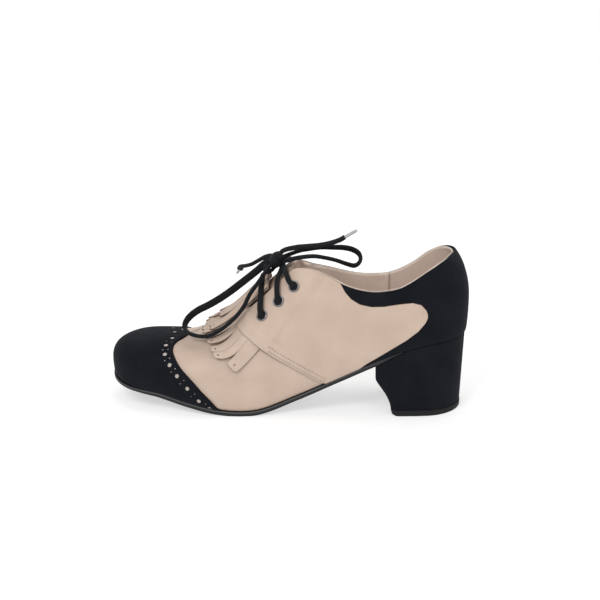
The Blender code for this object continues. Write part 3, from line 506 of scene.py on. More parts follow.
def tube(name, path, across_size, through_size, finish, flat_to, twist=(0.0, 0.0), around=20,
         caps=True, swell=None):
    """A profile carried along a path: an oval whose flat way is turned from flat_to by an angle that runs
    evenly between the twist's values, and that closes to a point past each end. The UV map's u goes round it
    and its v is the length in millimetres."""
    path = np.asarray(path, float)
    count = len(path)
    tangent = np.gradient(path, axis=0)
    tangent /= np.linalg.norm(tangent, axis=1)[:, None]
    flat = np.broadcast_to(np.asarray(flat_to, float), path.shape)
    first = flat - np.sum(flat * tangent, axis=1)[:, None] * tangent
    first /= np.linalg.norm(first, axis=1)[:, None]
    second = np.cross(tangent, first)
    length = np.concatenate([[0], np.cumsum(np.linalg.norm(np.diff(path, axis=0), axis=1))])
    turn = np.radians(np.interp(length / length[-1], np.linspace(0, 1, len(twist)), twist))[:, None]
    wide = np.cos(turn) * first + np.sin(turn) * second
    thin = -np.sin(turn) * first + np.cos(turn) * second
    size = np.ones(count) if swell is None else np.asarray(swell, float)
    angle = np.linspace(0, 2 * math.pi, around + 1)
    ring_a, ring_b = np.cos(angle), np.sin(angle)
    half_a, half_b = across_size / 2 * size, through_size / 2 * size
    grid = (path[:, None] + wide[:, None] * (half_a[:, None] * ring_a)[..., None]
            + thin[:, None] * (half_b[:, None] * ring_b)[..., None])
    if caps:
        ends = [grid[:1] * 0 + path[0] - tangent[0] * through_size * 0.12,
                (grid[:1] - path[0]) * 0.75 + path[0] - tangent[0] * through_size * 0.08]
        tails = [(grid[-1:] - path[-1]) * 0.75 + path[-1] + tangent[-1] * through_size * 0.08,
                 grid[:1] * 0 + path[-1] + tangent[-1] * through_size * 0.12]
        grid = np.concatenate([*ends, grid, *tails])
        length = np.concatenate([[length[0]] * 2, length, [length[-1]] * 2])
    points = grid.reshape(-1, 3)
    triangles = grid_triangles(len(grid), around + 1)
    u = np.tile(np.linspace(0, 1, around + 1), len(grid))
    v = np.repeat(length, around + 1)
    corner = np.stack([u, v], -1)[triangles]
    first_of, faces, whole = welded(points, triangles)
    return piece(name, points[first_of], faces, finish, corner_uv=corner[whole])


lining_finish, lining_tree, lining_shader = leather("lining_leather", LINING_COLOUR, LINING_PATCH,
                                                    LINING_ROUGH, patch_size=14, grain_size=0.7,
                                                    grain_depth=0.04)
where = lining_tree.nodes.new("ShaderNodeTexCoord")
parts = lining_tree.nodes.new("ShaderNodeSeparateXYZ")
lining_tree.links.new(where.outputs["Object"], parts.inputs["Vector"])
behind_seam = spread(lining_tree, parts.outputs["X"], (-SEAM_STATION - 0.2) * MM,
                     (-SEAM_STATION + 0.2) * MM)
streaks = texture(lining_tree, "Noise", 420.0, stretch=(1.0, 1.0, 0.18), Detail=4.0)
suede = blend(lining_tree, spread(lining_tree, streaks.outputs["Fac"], 0.35, 0.7), BACK_COLOUR, LINING_PATCH)
front_tone = lining_shader.inputs["Base Color"].links[0].from_socket
lining_tree.links.new(blend(lining_tree, behind_seam, front_tone, suede), lining_shader.inputs["Base Color"])
marked(lining_tree, lining_shader, "seam", SEAM_COLOUR)

lining_rows = np.linspace(0, 1, 40)
lining_stations = np.concatenate([np.linspace(-FAN, 0, 33), np.linspace(1, 83, 90), np.linspace(84, 121, 40),
                                  [121.4, 121.8, 122.0], np.linspace(124, BODY, 32),
                                  np.linspace(BODY + 2, STATION_END, 20)])
lining_grids, seam_marks = [], []
for side in (-1.0, 1.0):
    s, a = side_grid(lining_stations, np.zeros(len(lining_stations)), opening_share(lining_stations, side),
                     side, lining_rows)
    seam = SEAM_HIGH * np.exp(-((s - SEAM_STATION) / SEAM_WIDE) ** 2)
    by_facing = ease((s - WRINKLE_FROM) / WRINKLE_RUN) * ease((1 - np.abs(a) - WRINKLE_SHARE) / WRINKLE_FADE)
    wrinkle = WRINKLE_HIGH * np.sin(s * WRINKLE_TURN + WRINKLE_LEAN * a) * by_facing
    lining_grids.append((s, a, WALL_IN - seam + wrinkle, np.full(s.shape, LINING_OUT)))
    seam_marks.append(SEAM_DARK * np.exp(-((s - SEAM_STATION + SEAM_WIDE) / SEAM_LINE) ** 2))
shell("lining", lining_grids, lining_finish, marks={"seam": seam_marks})

bead_finish, _, _ = leather("collar_bead", BEAD_COLOUR, LINING_COLOUR, BEAD_ROUGH, patch_size=10,
                            grain_size=0.6)
bead_stations = np.concatenate([np.linspace(88, 0, 90), np.linspace(-1.5, -FAN + 1.5, 26)])
bead_path = []
for side in (-1.0, 1.0):
    share = opening_share(bead_stations, side)
    line = layer(bead_stations, side * (1 - share), np.full(len(share), BEAD_DEEP))
    bead_path.append(line if side < 0 else line[::-1])
back_share = opening_share(np.array([-FAN]), -1)
back_point = layer(np.array([-FAN]), 1 - back_share, np.array([BEAD_DEEP]))
tube("collar_bead", np.concatenate([bead_path[0], back_point, bead_path[1]]), BEAD_WIDE, BEAD_THICK,
     bead_finish, (0, 0, 1), around=12)

# Vamp: smooth nude-pink calf, lasted over the foot from the wing tip back under the quarters.
# It is one sheet, cemented under at the sole, and creases softly where the shoe flexes.
CREAM, CREAM_PATCH, CREAM_ROUGH = (0.540, 0.415, 0.331), (0.495, 0.374, 0.297), 0.50
VAMP_CREASES = [    # station, across, length along, width across, lean across for each mm along, depth
    (140, -0.45, 9, 0.20, 0.0, 0.35), (150, -0.36, 7, 0.05, 0.004, 0.40), (147, -0.25, 4, 0.25, 0.0, -0.25),
    (133, -0.75, 10, 0.16, 0.0, 0.3), (128, 0.45, 8, 0.2, 0.0, 0.3), (143, 0.3, 5, 0.25, 0.0, 0.25),
]


def creases(table, station, across):
    """Soft troughs and ridges: the sum of depth times exp(-(along / length)^2 - (across / width)^2), across
    counted from a middle line that leans over the leather."""
    total = np.zeros(np.shape(station))
    for at, middle, long, wide, lean, depth in table:
        beside = across - middle - lean * (station - at)
        total -= depth * np.exp(-((station - at) / long) ** 2 - (beside / wide) ** 2)
    return total


cream_finish, _, _ = leather("cream_leather", CREAM, CREAM_PATCH, CREAM_ROUGH, patch_size=16, grain_size=0.75,
                             grain_depth=0.035)
vamp_rows = np.linspace(0, 1, 60)
vamp_stations = np.concatenate([np.linspace(50, 83, 20), np.linspace(84, 121, 40), [121.4, 121.8, 122.0],
                                np.linspace(123, 176, 54)])
vamp_grids = []
for side in (-1.0, 1.0):
    s, a = side_grid(vamp_stations, np.zeros(len(vamp_stations)), opening_share(vamp_stations, side), side,
                     vamp_rows)
    vamp_grids.append((s, a, np.full(s.shape, LINING_OUT), WALL_OUT + creases(VAMP_CREASES, s, a)))
vamp = shell("vamp", vamp_grids, cream_finish)
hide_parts("upper")

# Wing tip: black nubuck cut to a wing with its spike on the instep, laid over the vamp and lasted under.
# A row of large punched holes follows its edge, with a pair of small ones between each two, and the paler
# leather below shows in them.
LAYER_IN, LAYER_OUT = -0.72, 0.6
EDGE_ROLL = 0.45
WING = [            # across, station of the wing's edge
    (-1.0, 135.0), (-0.84, 142.0), (-0.76, 148.5), (-0.66, 155.0), (-0.53, 162.5), (-0.45, 165.5),
    (-0.36, 168.0), (-0.28, 169.0), (-0.21, 168.5), (-0.15, 166.6), (-0.10, 163.6), (-0.05, 161.2),
    (0.0, 164.2), (0.05, 167.4), (0.12, 169.0), (0.20, 168.5), (0.32, 165.5), (0.48, 160.0),
    (0.66, 153.0), (0.82, 145.5), (1.0, 135.0),
]
BROGUE = [          # station and across of each large hole
    (142.5, -0.955), (149.5, -0.865), (157.0, -0.762), (164.0, -0.652), (169.5, -0.535), (173.6, -0.397),
    (174.2, -0.25), (171.4, -0.118), (171.8, 0.0), (174.6, 0.115), (174.2, 0.26), (171.0, 0.40),
    (166.5, 0.525), (161.0, 0.64), (155.0, 0.75), (148.5, 0.855), (142.0, 0.95),
]
LARGE_HOLE, SMALL_HOLE, PAIR_APART, HOLE_DEEP = 1.35, 0.42, 1.75, 0.75
NUBUCK, NUBUCK_PATCH, NUBUCK_ROUGH = (0.0048, 0.0056, 0.0082), (0.0080, 0.0091, 0.0125), 0.85
HOLE_COLOUR = (0.50, 0.45, 0.41)


def nubuck(name, mark=None, mark_colour=None):
    """Nubuck: near black with a faint blue sheen, brushed patches and a fine nap. A mark shows another
    colour."""
    material, tree, shader = finish_of(name, NUBUCK_ROUGH, Specular_IOR_Level=0.09, Sheen_Weight=0.03,
                                       Sheen_Roughness=0.5, Sheen_Tint=(0.75, 0.82, 1.0, 1.0))
    brushed = texture(tree, "Noise", 1000 / 22.0, Detail=4.0, Roughness=0.6)
    tone = blend(tree, spread(tree, brushed.outputs["Fac"], 0.35, 0.65), NUBUCK, NUBUCK_PATCH)
    tree.links.new(tone, shader.inputs["Base Color"])
    if mark:
        marked(tree, shader, mark, mark_colour, 0.35, 0.65)
    nap = texture(tree, "Noise", 1000 / 0.35, Detail=3.0, Roughness=0.7)
    bump(tree, shader, nap.outputs["Fac"], 0.06, 0.5)
    slub = texture(tree, "Noise", 1000 / 3.0, Detail=2.0)
    bump(tree, shader, slub.outputs["Fac"], 0.08, 0.35)
    return material


def punched(ground, holes, wall=0.3):
    """How far each point is inside a punched hole: 1 in it, 0 outside, over a narrow wall."""
    inside = np.zeros(ground.shape[:-1])
    for centre, radius in holes:
        away = np.linalg.norm(ground - centre, axis=-1) - radius
        inside = np.maximum(inside, 1 - ease(away / wall + 0.5))
    return inside


brogue_places = np.array(BROGUE)
brogue_holes = [(point, LARGE_HOLE) for point in last_point(brogue_places[:, 0], brogue_places[:, 1])]
between = (brogue_places[:-1] + brogue_places[1:]) / 2
line_along = last_point(*brogue_places[1:].T) - last_point(*brogue_places[:-1].T)
line_out = np.cross(last_normal(*between.T), line_along)
line_out /= np.linalg.norm(line_out, axis=1)[:, None]
for reach in (-PAIR_APART, PAIR_APART):
    brogue_holes += [(point, SMALL_HOLE) for point in last_point(*between.T) + line_out * reach]

cap_across = np.linspace(-1, 1, 421)
cap_edge = smooth(WING, cap_across)[:, 0]
cap_band = np.concatenate([[0, 0.1, 0.25, 0.45, 0.7], np.arange(1.0, 16.1, 0.36)])
cap_rest = np.linspace(0, 1, 26)[1:]
cap_inner = cap_edge + cap_band[:, None]
cap_station = np.concatenate([cap_inner, cap_inner[-1] + (STATION_END - cap_inner[-1]) * cap_rest[:, None]])
cap_across_grid = np.broadcast_to(cap_across, cap_station.shape)
cap_ground = last_point(cap_station, cap_across_grid)
cap_holes = punched(cap_ground, brogue_holes)
cap_outer = (LAYER_OUT - rolled(edge_distance(cap_station, cap_across_grid, "w"), EDGE_ROLL)
             - HOLE_DEEP * cap_holes)
cap_finish = nubuck("cap_nubuck", "hole", HOLE_COLOUR)
toe_cap = shell("wing_tip", [(cap_station, cap_across_grid, np.full(cap_station.shape, LAYER_IN), cap_outer)],
                cap_finish, marks={"hole": [cap_holes]})
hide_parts("toe_cap")

# Tongue: unlined nude leather stitched in under the vamp's throat, it lies under the laces.
# Its top end sinks between the facings.
TONGUE_OUT, TONGUE_THICK, TONGUE_SAG = -3.15, 1.8, 1.6
TONGUE_TOP, TONGUE_LONG, TONGUE_SHARE, TONGUE_ROLL = 93.0, 37.0, 0.66, 0.6
SAG_FROM, SAG_RUN, SAG_SHARE, SAG_FADE = 101.0, 8.0, 0.7, 0.2
TONGUE_COLOUR, TONGUE_PATCH = (0.46, 0.335, 0.27), (0.36, 0.25, 0.20)
tongue_stations = TONGUE_TOP + TONGUE_LONG * steps_with_edges(TONGUE_LONG, 1.0)
tongue_half = TONGUE_SHARE + (1 - TONGUE_SHARE) * np.linspace(0, 1, 26)
tongue_across = np.concatenate([tongue_half - 1, (1 - tongue_half)[::-1][1:]])
tongue_s, tongue_a = np.meshgrid(tongue_stations, tongue_across, indexing="ij")
tongue_sag = (TONGUE_SAG * ease((SAG_FROM - tongue_s) / SAG_RUN)
              * ease((1 - np.abs(tongue_a) - SAG_SHARE) / SAG_FADE))
tongue_face = TONGUE_OUT - tongue_sag - rolled(edge_distance(tongue_s, tongue_a, "wns"), TONGUE_ROLL)
tongue_finish, _, _ = leather("tongue_leather", TONGUE_COLOUR, TONGUE_PATCH, 0.55, patch_size=12)
tongue = shell("tongue_leaf", [(tongue_s, tongue_a, TONGUE_OUT - TONGUE_THICK - tongue_sag, tongue_face)],
               tongue_finish)
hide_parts("tongue")

# Kiltie: a leaf of the same nude leather over the throat, slit into a fringe whose strips end in a cut tip
# with one pinhole each. It is caught under the quarters' fronts, and the strips curl off the vamp. Painted
# shadow darkens each strip along its slits and tip, and each pinhole is painted dark brown as shade.
# near slit and far slit across, station of the tip, slant, drift across, bow across, curl off the vamp
STRIPS = [
    (-0.551, -0.461, 128.2, 6.0, -0.083, 0.0, 0.5), (-0.461, -0.399, 139.0, 2.5, -0.036, -0.034, 1.9),
    (-0.399, -0.330, 141.5, 2.0, -0.038, -0.033, 1.3), (-0.330, -0.270, 144.0, 1.5, -0.022, -0.022, 2.1),
    (-0.268, -0.212, 146.5, 1.0, -0.008, -0.010, 1.2), (-0.210, -0.130, 148.5, 0.5, 0.0, -0.006, 2.2),
    (-0.128, -0.042, 150.5, 0.5, 0.0, 0.0, 1.3), (-0.040, 0.044, 149.0, 0.0, 0.0, 0.0, 1.0),
    (0.048, 0.132, 149.5, -0.5, 0.0, 0.0, 1.4), (0.134, 0.210, 148.5, -0.5, 0.0, 0.0, 2.1),
    (0.212, 0.268, 146.5, -1.0, 0.008, 0.010, 1.2), (0.270, 0.330, 144.0, -1.5, 0.022, 0.022, 2.0),
    (0.330, 0.399, 141.5, -2.0, 0.038, 0.033, 1.3), (0.399, 0.461, 139.0, -2.5, 0.036, 0.034, 1.9),
    (0.461, 0.551, 128.2, -6.0, 0.083, 0.0, 0.6),
]
SHORT_STRIPS = [
    (-0.205, -0.125, 143.5, 1.0, -0.010, 0.0, 1.2), (-0.115, -0.015, 138.0, 1.5, 0.005, 0.0, 1.6),
    (-0.010, 0.085, 143.5, -1.0, 0.010, 0.0, 1.1), (0.095, 0.180, 139.5, -1.0, 0.010, 0.0, 1.7),
]
SHORT_ABOVE = 1.25
FRONT_EDGE = [      # share of the way up, station of the quarter's front edge
    (0.0, 66), (0.2, 83), (0.38, 102.5), (0.53, 115.5), (0.64, 123), (0.70, 125), (0.76, 125),
]
KILTIE_TUCK, KILTIE_THROAT, KILTIE_BACK, KILTIE_SLIT = 3.0, 0.21, 105.0, 125.0
STRIP_THICK, STRIP_HUMP, STRIP_ROLL, STRIP_STAGGER, STRIP_OVERLAP = 1.0, 0.4, 0.4, 0.12, 0.004
PINHOLE, PINHOLE_IN, PINHOLE_DEEP = 0.5, 3.0, 0.5
TOOTH, TEETH, TOOTHED_WITHIN, CORNER_CUT, CORNER_FROM = 1.5, 2, 0.3, 1.3, 0.55
# Painted shadow along cut edges: its colour, how far in from the edge it reaches, and its strength.
EDGE_SHADOW_COLOUR, EDGE_SHADOW_WIDE, EDGE_SHADOW_DARK = (0.11, 0.07, 0.05), 0.5, 0.9
# Painted shade inside each kiltie pinhole.
PINHOLE_SHADE = (0.09, 0.06, 0.05)


def front_of_quarter(share):
    """Station of the quarter's front edge at a share of the way up the section."""
    return straight(FRONT_EDGE, share)


kiltie_finish, kiltie_tree, kiltie_shader = leather("kiltie_leather", CREAM, CREAM_PATCH, 0.55, patch_size=9,
                                                    grain_size=0.7, grain_depth=0.04)
# Painted shadow along each strip's slits and tip, carried by the edge mark, and painted shade in its pinhole,
# carried by the hole mark.
marked(kiltie_tree, kiltie_shader, "edge", EDGE_SHADOW_COLOUR)
marked(kiltie_tree, kiltie_shader, "hole", PINHOLE_SHADE)
for number, (near, far, tip, slant, drift, bow, curl) in enumerate(STRIPS + SHORT_STRIPS):
    over_it = SHORT_ABOVE if number >= len(STRIPS) else 0.0
    way = np.linspace(0, 1, 25)
    across = near + (far - near) * way
    middle = (near + far) / 2
    in_throat = abs(middle) < KILTIE_THROAT
    root = KILTIE_BACK if in_throat else front_of_quarter(1 - np.abs(across)) - KILTIE_TUCK
    free = KILTIE_SLIT if in_throat else front_of_quarter(1 - np.abs(across)) + 1
    if abs(middle) < TOOTHED_WITHIN:
        cut = TOOTH * np.abs((way * TEETH) % 1 - 0.5) * 2
    else:
        cut = CORNER_CUT * np.clip(np.abs(way - 0.5) * 2 - CORNER_FROM, 0, 1) / (1 - CORNER_FROM)
    end = tip + slant * (way - 0.5) - cut
    along = steps_with_edges(float(tip - np.min(root)), 0.5, (0.08, 0.2, 0.4))
    s = root + (end - root) * along[:, None]
    loose = np.clip((s - free) / (end - free), 0, 1)
    overlap = STRIP_OVERLAP * np.sign(across - middle) * (1 - loose)
    a = across + overlap + drift * loose + bow * 4 * loose * (1 - loose)
    centre = last_point(tip - PINHOLE_IN, middle + drift * 0.9 + bow * 0.35)
    pins = punched(last_point(s, a), [(centre, PINHOLE)])
    from_edge = edge_distance(s, a, "esn")
    edge = rolled(from_edge, STRIP_ROLL)
    hump = STRIP_HUMP * (1 - ((way - 0.5) * 2) ** 2)
    lift = over_it + curl * loose**1.6 + hump * loose + STRIP_STAGGER * (number % 2)
    back, face = LAYER_OUT - STRIP_THICK + lift, LAYER_OUT + lift - edge - PINHOLE_DEEP * pins
    # The edge mark is a painted shadow at the slits and tip; the hole mark is the pinhole's painted shade.
    strip_marks = {"hole": [pins], "edge": [EDGE_SHADOW_DARK * (1 - ease(from_edge / EDGE_SHADOW_WIDE))]}
    shell(f"kiltie_strip_{number + 1}", [(s, a, back, face)], kiltie_finish,
                              strip_marks)
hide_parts("kiltie")

# Quarters: nude calf panels from the waist to the lacing, laid over the vamp with a clean cut front edge.
# Two rows of close stitching hold the lower part of that edge, and the front rises a little to pass over
# the kiltie. A painted shadow darkens each panel along its lower and upper edges.
QUARTER_LOW = [     # x and height of the lower edge, seen from the side
    (-125.6, 61.0), (-125.0, 59.0), (-123.6, 57.4), (-119, 54.0), (-112, 49.4), (-102.5, 43.2),
    (-89, 34.5), (-76.5, 26.4), (-66, 20.5), (-60, 10.0), (-54, 14.0), (-48, 28.0), (-40, 35.2),
    (-33, 39.8), (-24.5, 45.6), (-14, 52.8), (-6.5, 59.2), (-2.2, 64.8), (-1.0, 67.4), (-0.6, 69.5),
]
QUARTER_HIGH = [    # x and height of the upper edge behind the facing
    (-57.4, 90.2), (-56.4, 88.5), (-54, 84.3), (-50, 80.0), (-44.5, 76.8), (-37, 75.4), (-29, 75.8),
    (-19, 77.6), (-10.5, 78.7), (-5, 77.4), (-1.6, 73.6), (-0.9, 71.4), (-0.6, 69.5),
]
QUARTER_LIFT, LIFT_START, LIFT_RUN, LIFT_LOW, LIFT_BLEND = 1.55, 9.5, 3.0, 0.25, 0.12
QUARTER_TAIL, QUARTER_FRONT, CORNER_LONG = 0.6, 125.6, 6.0
WAIST_FROM, WAIST_TO, BAND_END = 52.0, 66.0, 57.4
QUARTER_CREASES = [     # the same columns as the vamp's
    (118, -0.50, 5, 0.09, 0.0, 1.0), (92, -0.62, 14, 0.10, 0.0, 0.7), (97, -0.565, 10, 0.030, -0.005, 0.85),
    (95, -0.505, 10, 0.035, -0.005, -0.55), (70, -0.455, 11, 0.038, -0.003, 0.75),
    (70, -0.385, 12, 0.040, -0.003, -0.50), (72, -0.45, 12, 0.13, 0.0, 0.5), (45, -0.66, 12, 0.12, 0.0, 0.6),
    (60, -0.85, 14, 0.1, 0.0, -0.45), (105, 0.5, 9, 0.1, 0.0, 0.8), (96, 0.55, 10, 0.032, 0.005, 0.5),
    (80, 0.6, 14, 0.14, 0.0, 0.7),
]
STITCH_ROWS = [(1.6, 1.9), (4.2, 2.05)]      # distance from the edge, and pitch
STITCH_FROM, STITCH_TO = 69.0, 105.0
STITCH_HOLE, STITCH_DEEP, STITCH_COLOUR = 0.40, 0.35, (0.14, 0.095, 0.07)


def quarter_bounds(station, side):
    """The quarter's lower and upper ends as shares up the section: side-view curves, and the top line or
    facing, with the upper front corner turned round as a quarter ellipse."""
    low = share_of_height(station, straight(QUARTER_LOW, -station), side)
    low = np.where((station > WAIST_FROM) & (station < WAIST_TO), 0.0, low)
    edge = np.where(station > FACING_START, FACING_SHARE, opening_share(station, side))
    band = share_of_height(station, straight(QUARTER_HIGH, -station), side)
    high = np.where(station < BAND_END, np.minimum(band, edge), edge)
    tip = low[-1]
    into_corner = np.clip((station - QUARTER_FRONT + CORNER_LONG) / CORNER_LONG, 0, 1)
    return low, tip + (high - tip) * np.sqrt(1 - into_corner**2)


def rounded_stations(first, last, step):
    """Stations from first to last, close together by both ends, where the outline turns round."""
    length = last - first
    count = int(length / step)
    ends = np.array([0.0, 0.03, 0.12, 0.28, 0.5, 0.8])
    middle = np.linspace(first + 1.2, last - 1.2, count)
    return np.concatenate([first + ends, middle, (last - ends)[::-1]])


quarter_finish, quarter_tree, quarter_shader = leather("quarter_leather", CREAM, CREAM_PATCH, CREAM_ROUGH,
                                                       patch_size=17, grain_size=0.75, grain_depth=0.035)
# Painted shadow along the panel's lower and upper edges, carried by its edge mark.
marked(quarter_tree, quarter_shader, "edge", EDGE_SHADOW_COLOUR)
marked(quarter_tree, quarter_shader, "hole", STITCH_COLOUR)
quarter_stations = rounded_stations(QUARTER_TAIL, QUARTER_FRONT, 0.55)
quarter_rows = steps_with_edges(60, 0.62, (0.1, 0.25, 0.45, 0.8))
for side, word in ((-1.0, "lateral"), (1.0, "medial")):
    low, high = quarter_bounds(quarter_stations, side)
    s, a = side_grid(quarter_stations, low, high, side, quarter_rows)
    ground = last_point(s, a)
    share = 1 - np.abs(a)
    ahead = s - front_of_quarter(share)
    lift = QUARTER_LIFT * ease((ahead + LIFT_START) / LIFT_RUN) * ease((share - LIFT_LOW) / LIFT_BLEND)
    front_stations = np.linspace(STITCH_FROM, STITCH_TO, 400)
    front_across = side * (1 - quarter_bounds(front_stations, side)[0])
    front_line = last_point(front_stations, front_across)
    inward = np.cross(last_normal(front_stations, front_across), np.gradient(front_line, axis=0))
    inward *= np.sign(inward[:, 2:]) / np.linalg.norm(inward, axis=1)[:, None]
    stitches = []
    for offset, pitch_along in STITCH_ROWS:
        row_line = front_line + inward * offset
        run = np.concatenate([[0], np.cumsum(np.linalg.norm(np.diff(row_line, axis=0), axis=1))])
        spots = np.arange(0, run[-1], pitch_along)
        stitches += [(np.array([np.interp(spot, run, row_line[:, k]) for k in range(3)]), STITCH_HOLE)
                     for spot in spots]
    holes = punched(ground, stitches)
    from_edge = edge_distance(s, a, "ns")
    face = (LAYER_OUT + lift + creases(QUARTER_CREASES, s, a) - rolled(from_edge, EDGE_ROLL)
            - STITCH_DEEP * holes)
    # The edge mark is a painted shadow along the panel's lower and upper edges.
    quarter = shell("quarter_panel_" + word, [(s, a, LAYER_IN + lift, face)], quarter_finish,
                    marks={"hole": [holes], "edge": [1 - ease(from_edge / EDGE_SHADOW_WIDE)]})
    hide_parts("quarter_" + word)

# Counter: black nubuck round the heel, cut in one with the narrow band under the collar's edge.
# It meets the quarters edge to edge, and is lasted under on top of the heel.
COUNTER_END, TOP_ROLL = 49.0, 0.6
counter_stations = np.concatenate([np.linspace(-FAN, 0, 41), rounded_stations(QUARTER_TAIL, BAND_END, 0.7)])
counter_rows_low = steps_with_edges(30, 0.9, (0.1, 0.25, 0.45, 0.8))
counter_rows_high = steps_with_edges(25, 0.9, (0.1, 0.25, 0.45, 0.8))
counter_grids = []
for side in (-1.0, 1.0):
    station = counter_stations
    low_line = share_of_height(station, straight(QUARTER_LOW, -station), side)
    low_line = np.where(station > COUNTER_END, 0.0, low_line)
    top_line = opening_share(station, side)
    high_line = np.minimum(share_of_height(station, straight(QUARTER_HIGH, -station), side), top_line)
    open_part = (station > QUARTER_TAIL)[:, None]
    for bottom, top, rows, cut in ((np.zeros(len(station)), low_line, counter_rows_low, "n"),
                                   (high_line, top_line, counter_rows_high, "s")):
        s, a = side_grid(station, bottom, top, side, rows)
        roll = np.where(open_part, rolled(edge_distance(s, a, cut), EDGE_ROLL), 0.0)
        if cut == "s":
            roll = np.maximum(roll, rolled(edge_distance(s, a, "n"), TOP_ROLL))
        counter_grids.append((s, a, np.full(s.shape, LAYER_IN), LAYER_OUT - roll))
counter = shell("counter_band", counter_grids, nubuck("counter_nubuck"))
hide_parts("counter")

# Eyelets: plated steel rings rolled through the facings, three to a side, with the lace coming out of them.
# Each has a rounded flange, and across its hole a near-black disc of painted shade round the lace.
EYELETS = [(108.0, 0.628), (97.3, 0.630), (87.4, 0.640)]    # station, share of the way up
RING = [            # radius, height
    (2.7, -0.9), (2.74, 0.1), (2.84, 0.42), (3.05, 0.62), (3.3, 0.68), (3.6, 0.55), (3.82, 0.27), (3.9, 0.0),
    (3.85, -0.3),
]
THROAT = [(0.0, 0.24), (1.2, 0.23), (2.75, 0.2), (2.75, -0.9), (0.0, -0.95)]    # radius, height
EYELET_RISE = 0.25
PLATING, PLATING_WORN = (0.17, 0.17, 0.18), (0.30, 0.30, 0.31)
# Painted shade in each eyelet's hole: a near-black disc, mottled between two near-blacks.
THROAT_SHADE, THROAT_SHADE_PALE = (0.006, 0.006, 0.007), (0.012, 0.011, 0.012)
metal_finish, metal_tree, metal_shader = finish_of("gunmetal_ring", 0.28, Metallic=1.0)
scratch = texture(metal_tree, "Noise", 1500.0, Detail=2.0)
mottled(metal_tree, metal_shader, scratch, PLATING, PLATING_WORN)
metal_tree.links.new(spread(metal_tree, scratch.outputs["Fac"], 0.3, 0.7, 0.22, 0.4),
                     metal_shader.inputs["Roughness"])
throat_shade_finish, throat_shade_tree, throat_shade_shader = finish_of("eyelet_throat_shade", 0.9)
mottled(throat_shade_tree, throat_shade_shader, texture(throat_shade_tree, "Noise", 900.0), THROAT_SHADE, THROAT_SHADE_PALE)


def turned(profile, centre, normal, around=40):
    """A profile of radius and height turned about a normal through a centre, as a grid of points."""
    angle = np.linspace(0, 2 * math.pi, around + 1)
    first = np.cross(normal, (1.0, 0.0, 0.0))
    first /= np.linalg.norm(first)
    second = np.cross(normal, first)
    radius, height = np.array(profile, float).T
    ring = np.cos(angle)[:, None] * first + np.sin(angle)[:, None] * second
    return centre + radius[:, None, None] * ring + height[:, None, None] * normal


for side, word in ((-1.0, "lateral"), (1.0, "medial")):
    for number, (station, share) in enumerate(EYELETS, 1):
        place = side * (1 - share)
        normal = last_normal(station, place)
        centre = last_point(station, place) + normal * (LAYER_OUT + EYELET_RISE)
        # The throat is the disc of painted shade across the ring's hole.
        for label, profile, finish in (("ring", RING, metal_finish), ("throat", THROAT, throat_shade_finish)):
            grid = turned(profile, centre, normal)
            first, faces, _ = welded(grid.reshape(-1, 3), grid_triangles(*grid.shape[:2]))
            made = piece(f"eyelet_{label}_{word}_{number}", grid.reshape(-1, 3)[first], faces, finish)
            if label == "ring":
                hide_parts(f"eyelet_{word}_{number}")

# Outsole: a thin stained leather sole, cemented on, with a burnished edge, and a painted highlight at its top
# arris.
# It runs flat under the ball, springs up at the toe, and feathers out on the heel's side.
SOLE_END, SOLE_THICK, SOLE_TAIL, SOLE_THICK_RUN, SOLE_GAP = 16.0, 3.3, 0.8, 20.0, 0.3
SOLE_EDGE, SOLE_EDGE_TAIL, SOLE_EDGE_RUN = 1.1, 0.3, 40.0
# The third colour is a painted highlight for the sole's top arris.
SOLE_STAIN, SOLE_WORN, ARRIS_HIGHLIGHT = (0.012, 0.012, 0.013), (0.020, 0.019, 0.019), (0.075, 0.075, 0.08)
TOE_THIN, TOE_REACH, TOE_START, TOE_RUN = 1.1, 1.2, 172.0, 24.0
# The profile's last column is the share of the painted highlight's colour.
SOLE_PROFILE = [    # in from the edge, share of the thickness down, share of the bright line's colour
    (99, 0.0, 0), (24, 0.0, 0), (12, 0.0, 0), (1.2, 0.0, 0), (0.55, 0.0, 0), (0.25, 0.06, 1), (0.05, 0.14, 1),
    (0.0, 0.24, 1), (0.12, 0.30, 0.2), (0.10, 0.45, 0), (0.04, 0.7, 0), (0.10, 0.86, 0), (0.35, 0.95, 0),
    (0.8, 1.0, 0), (4.0, 1.0, 0), (14, 1.0, 0), (24, 1.0, 0), (99, 1.0, 0),
]


def sole_thickness(station):
    """The sole's thickness: it feathers down to its tail over a run at its heel end."""
    return SOLE_TAIL + (SOLE_THICK - SOLE_TAIL) * ease((station - SOLE_END) / SOLE_THICK_RUN)


def closed_halves(lateral, medial, at_last):
    """A solid from two grids of points that meet on the middle line, with a wall between them across their
    last row or else their first."""
    rows, columns = lateral.shape[:2]
    size = rows * columns
    sheet = grid_triangles(rows, columns)
    near = np.arange(columns) + (size - columns if at_last else 0)
    far = near + size
    wall = np.concatenate([np.stack([near[:-1], near[1:], far[1:]], -1),
                           np.stack([near[:-1], far[1:], far[:-1]], -1)])
    points = np.concatenate([lateral.reshape(-1, 3), medial.reshape(-1, 3)])
    first, faces, _ = welded(points, np.concatenate([sheet, sheet[:, ::-1] + size,
                                                     wall[:, ::-1] if at_last else wall]))
    return points[first], faces, first


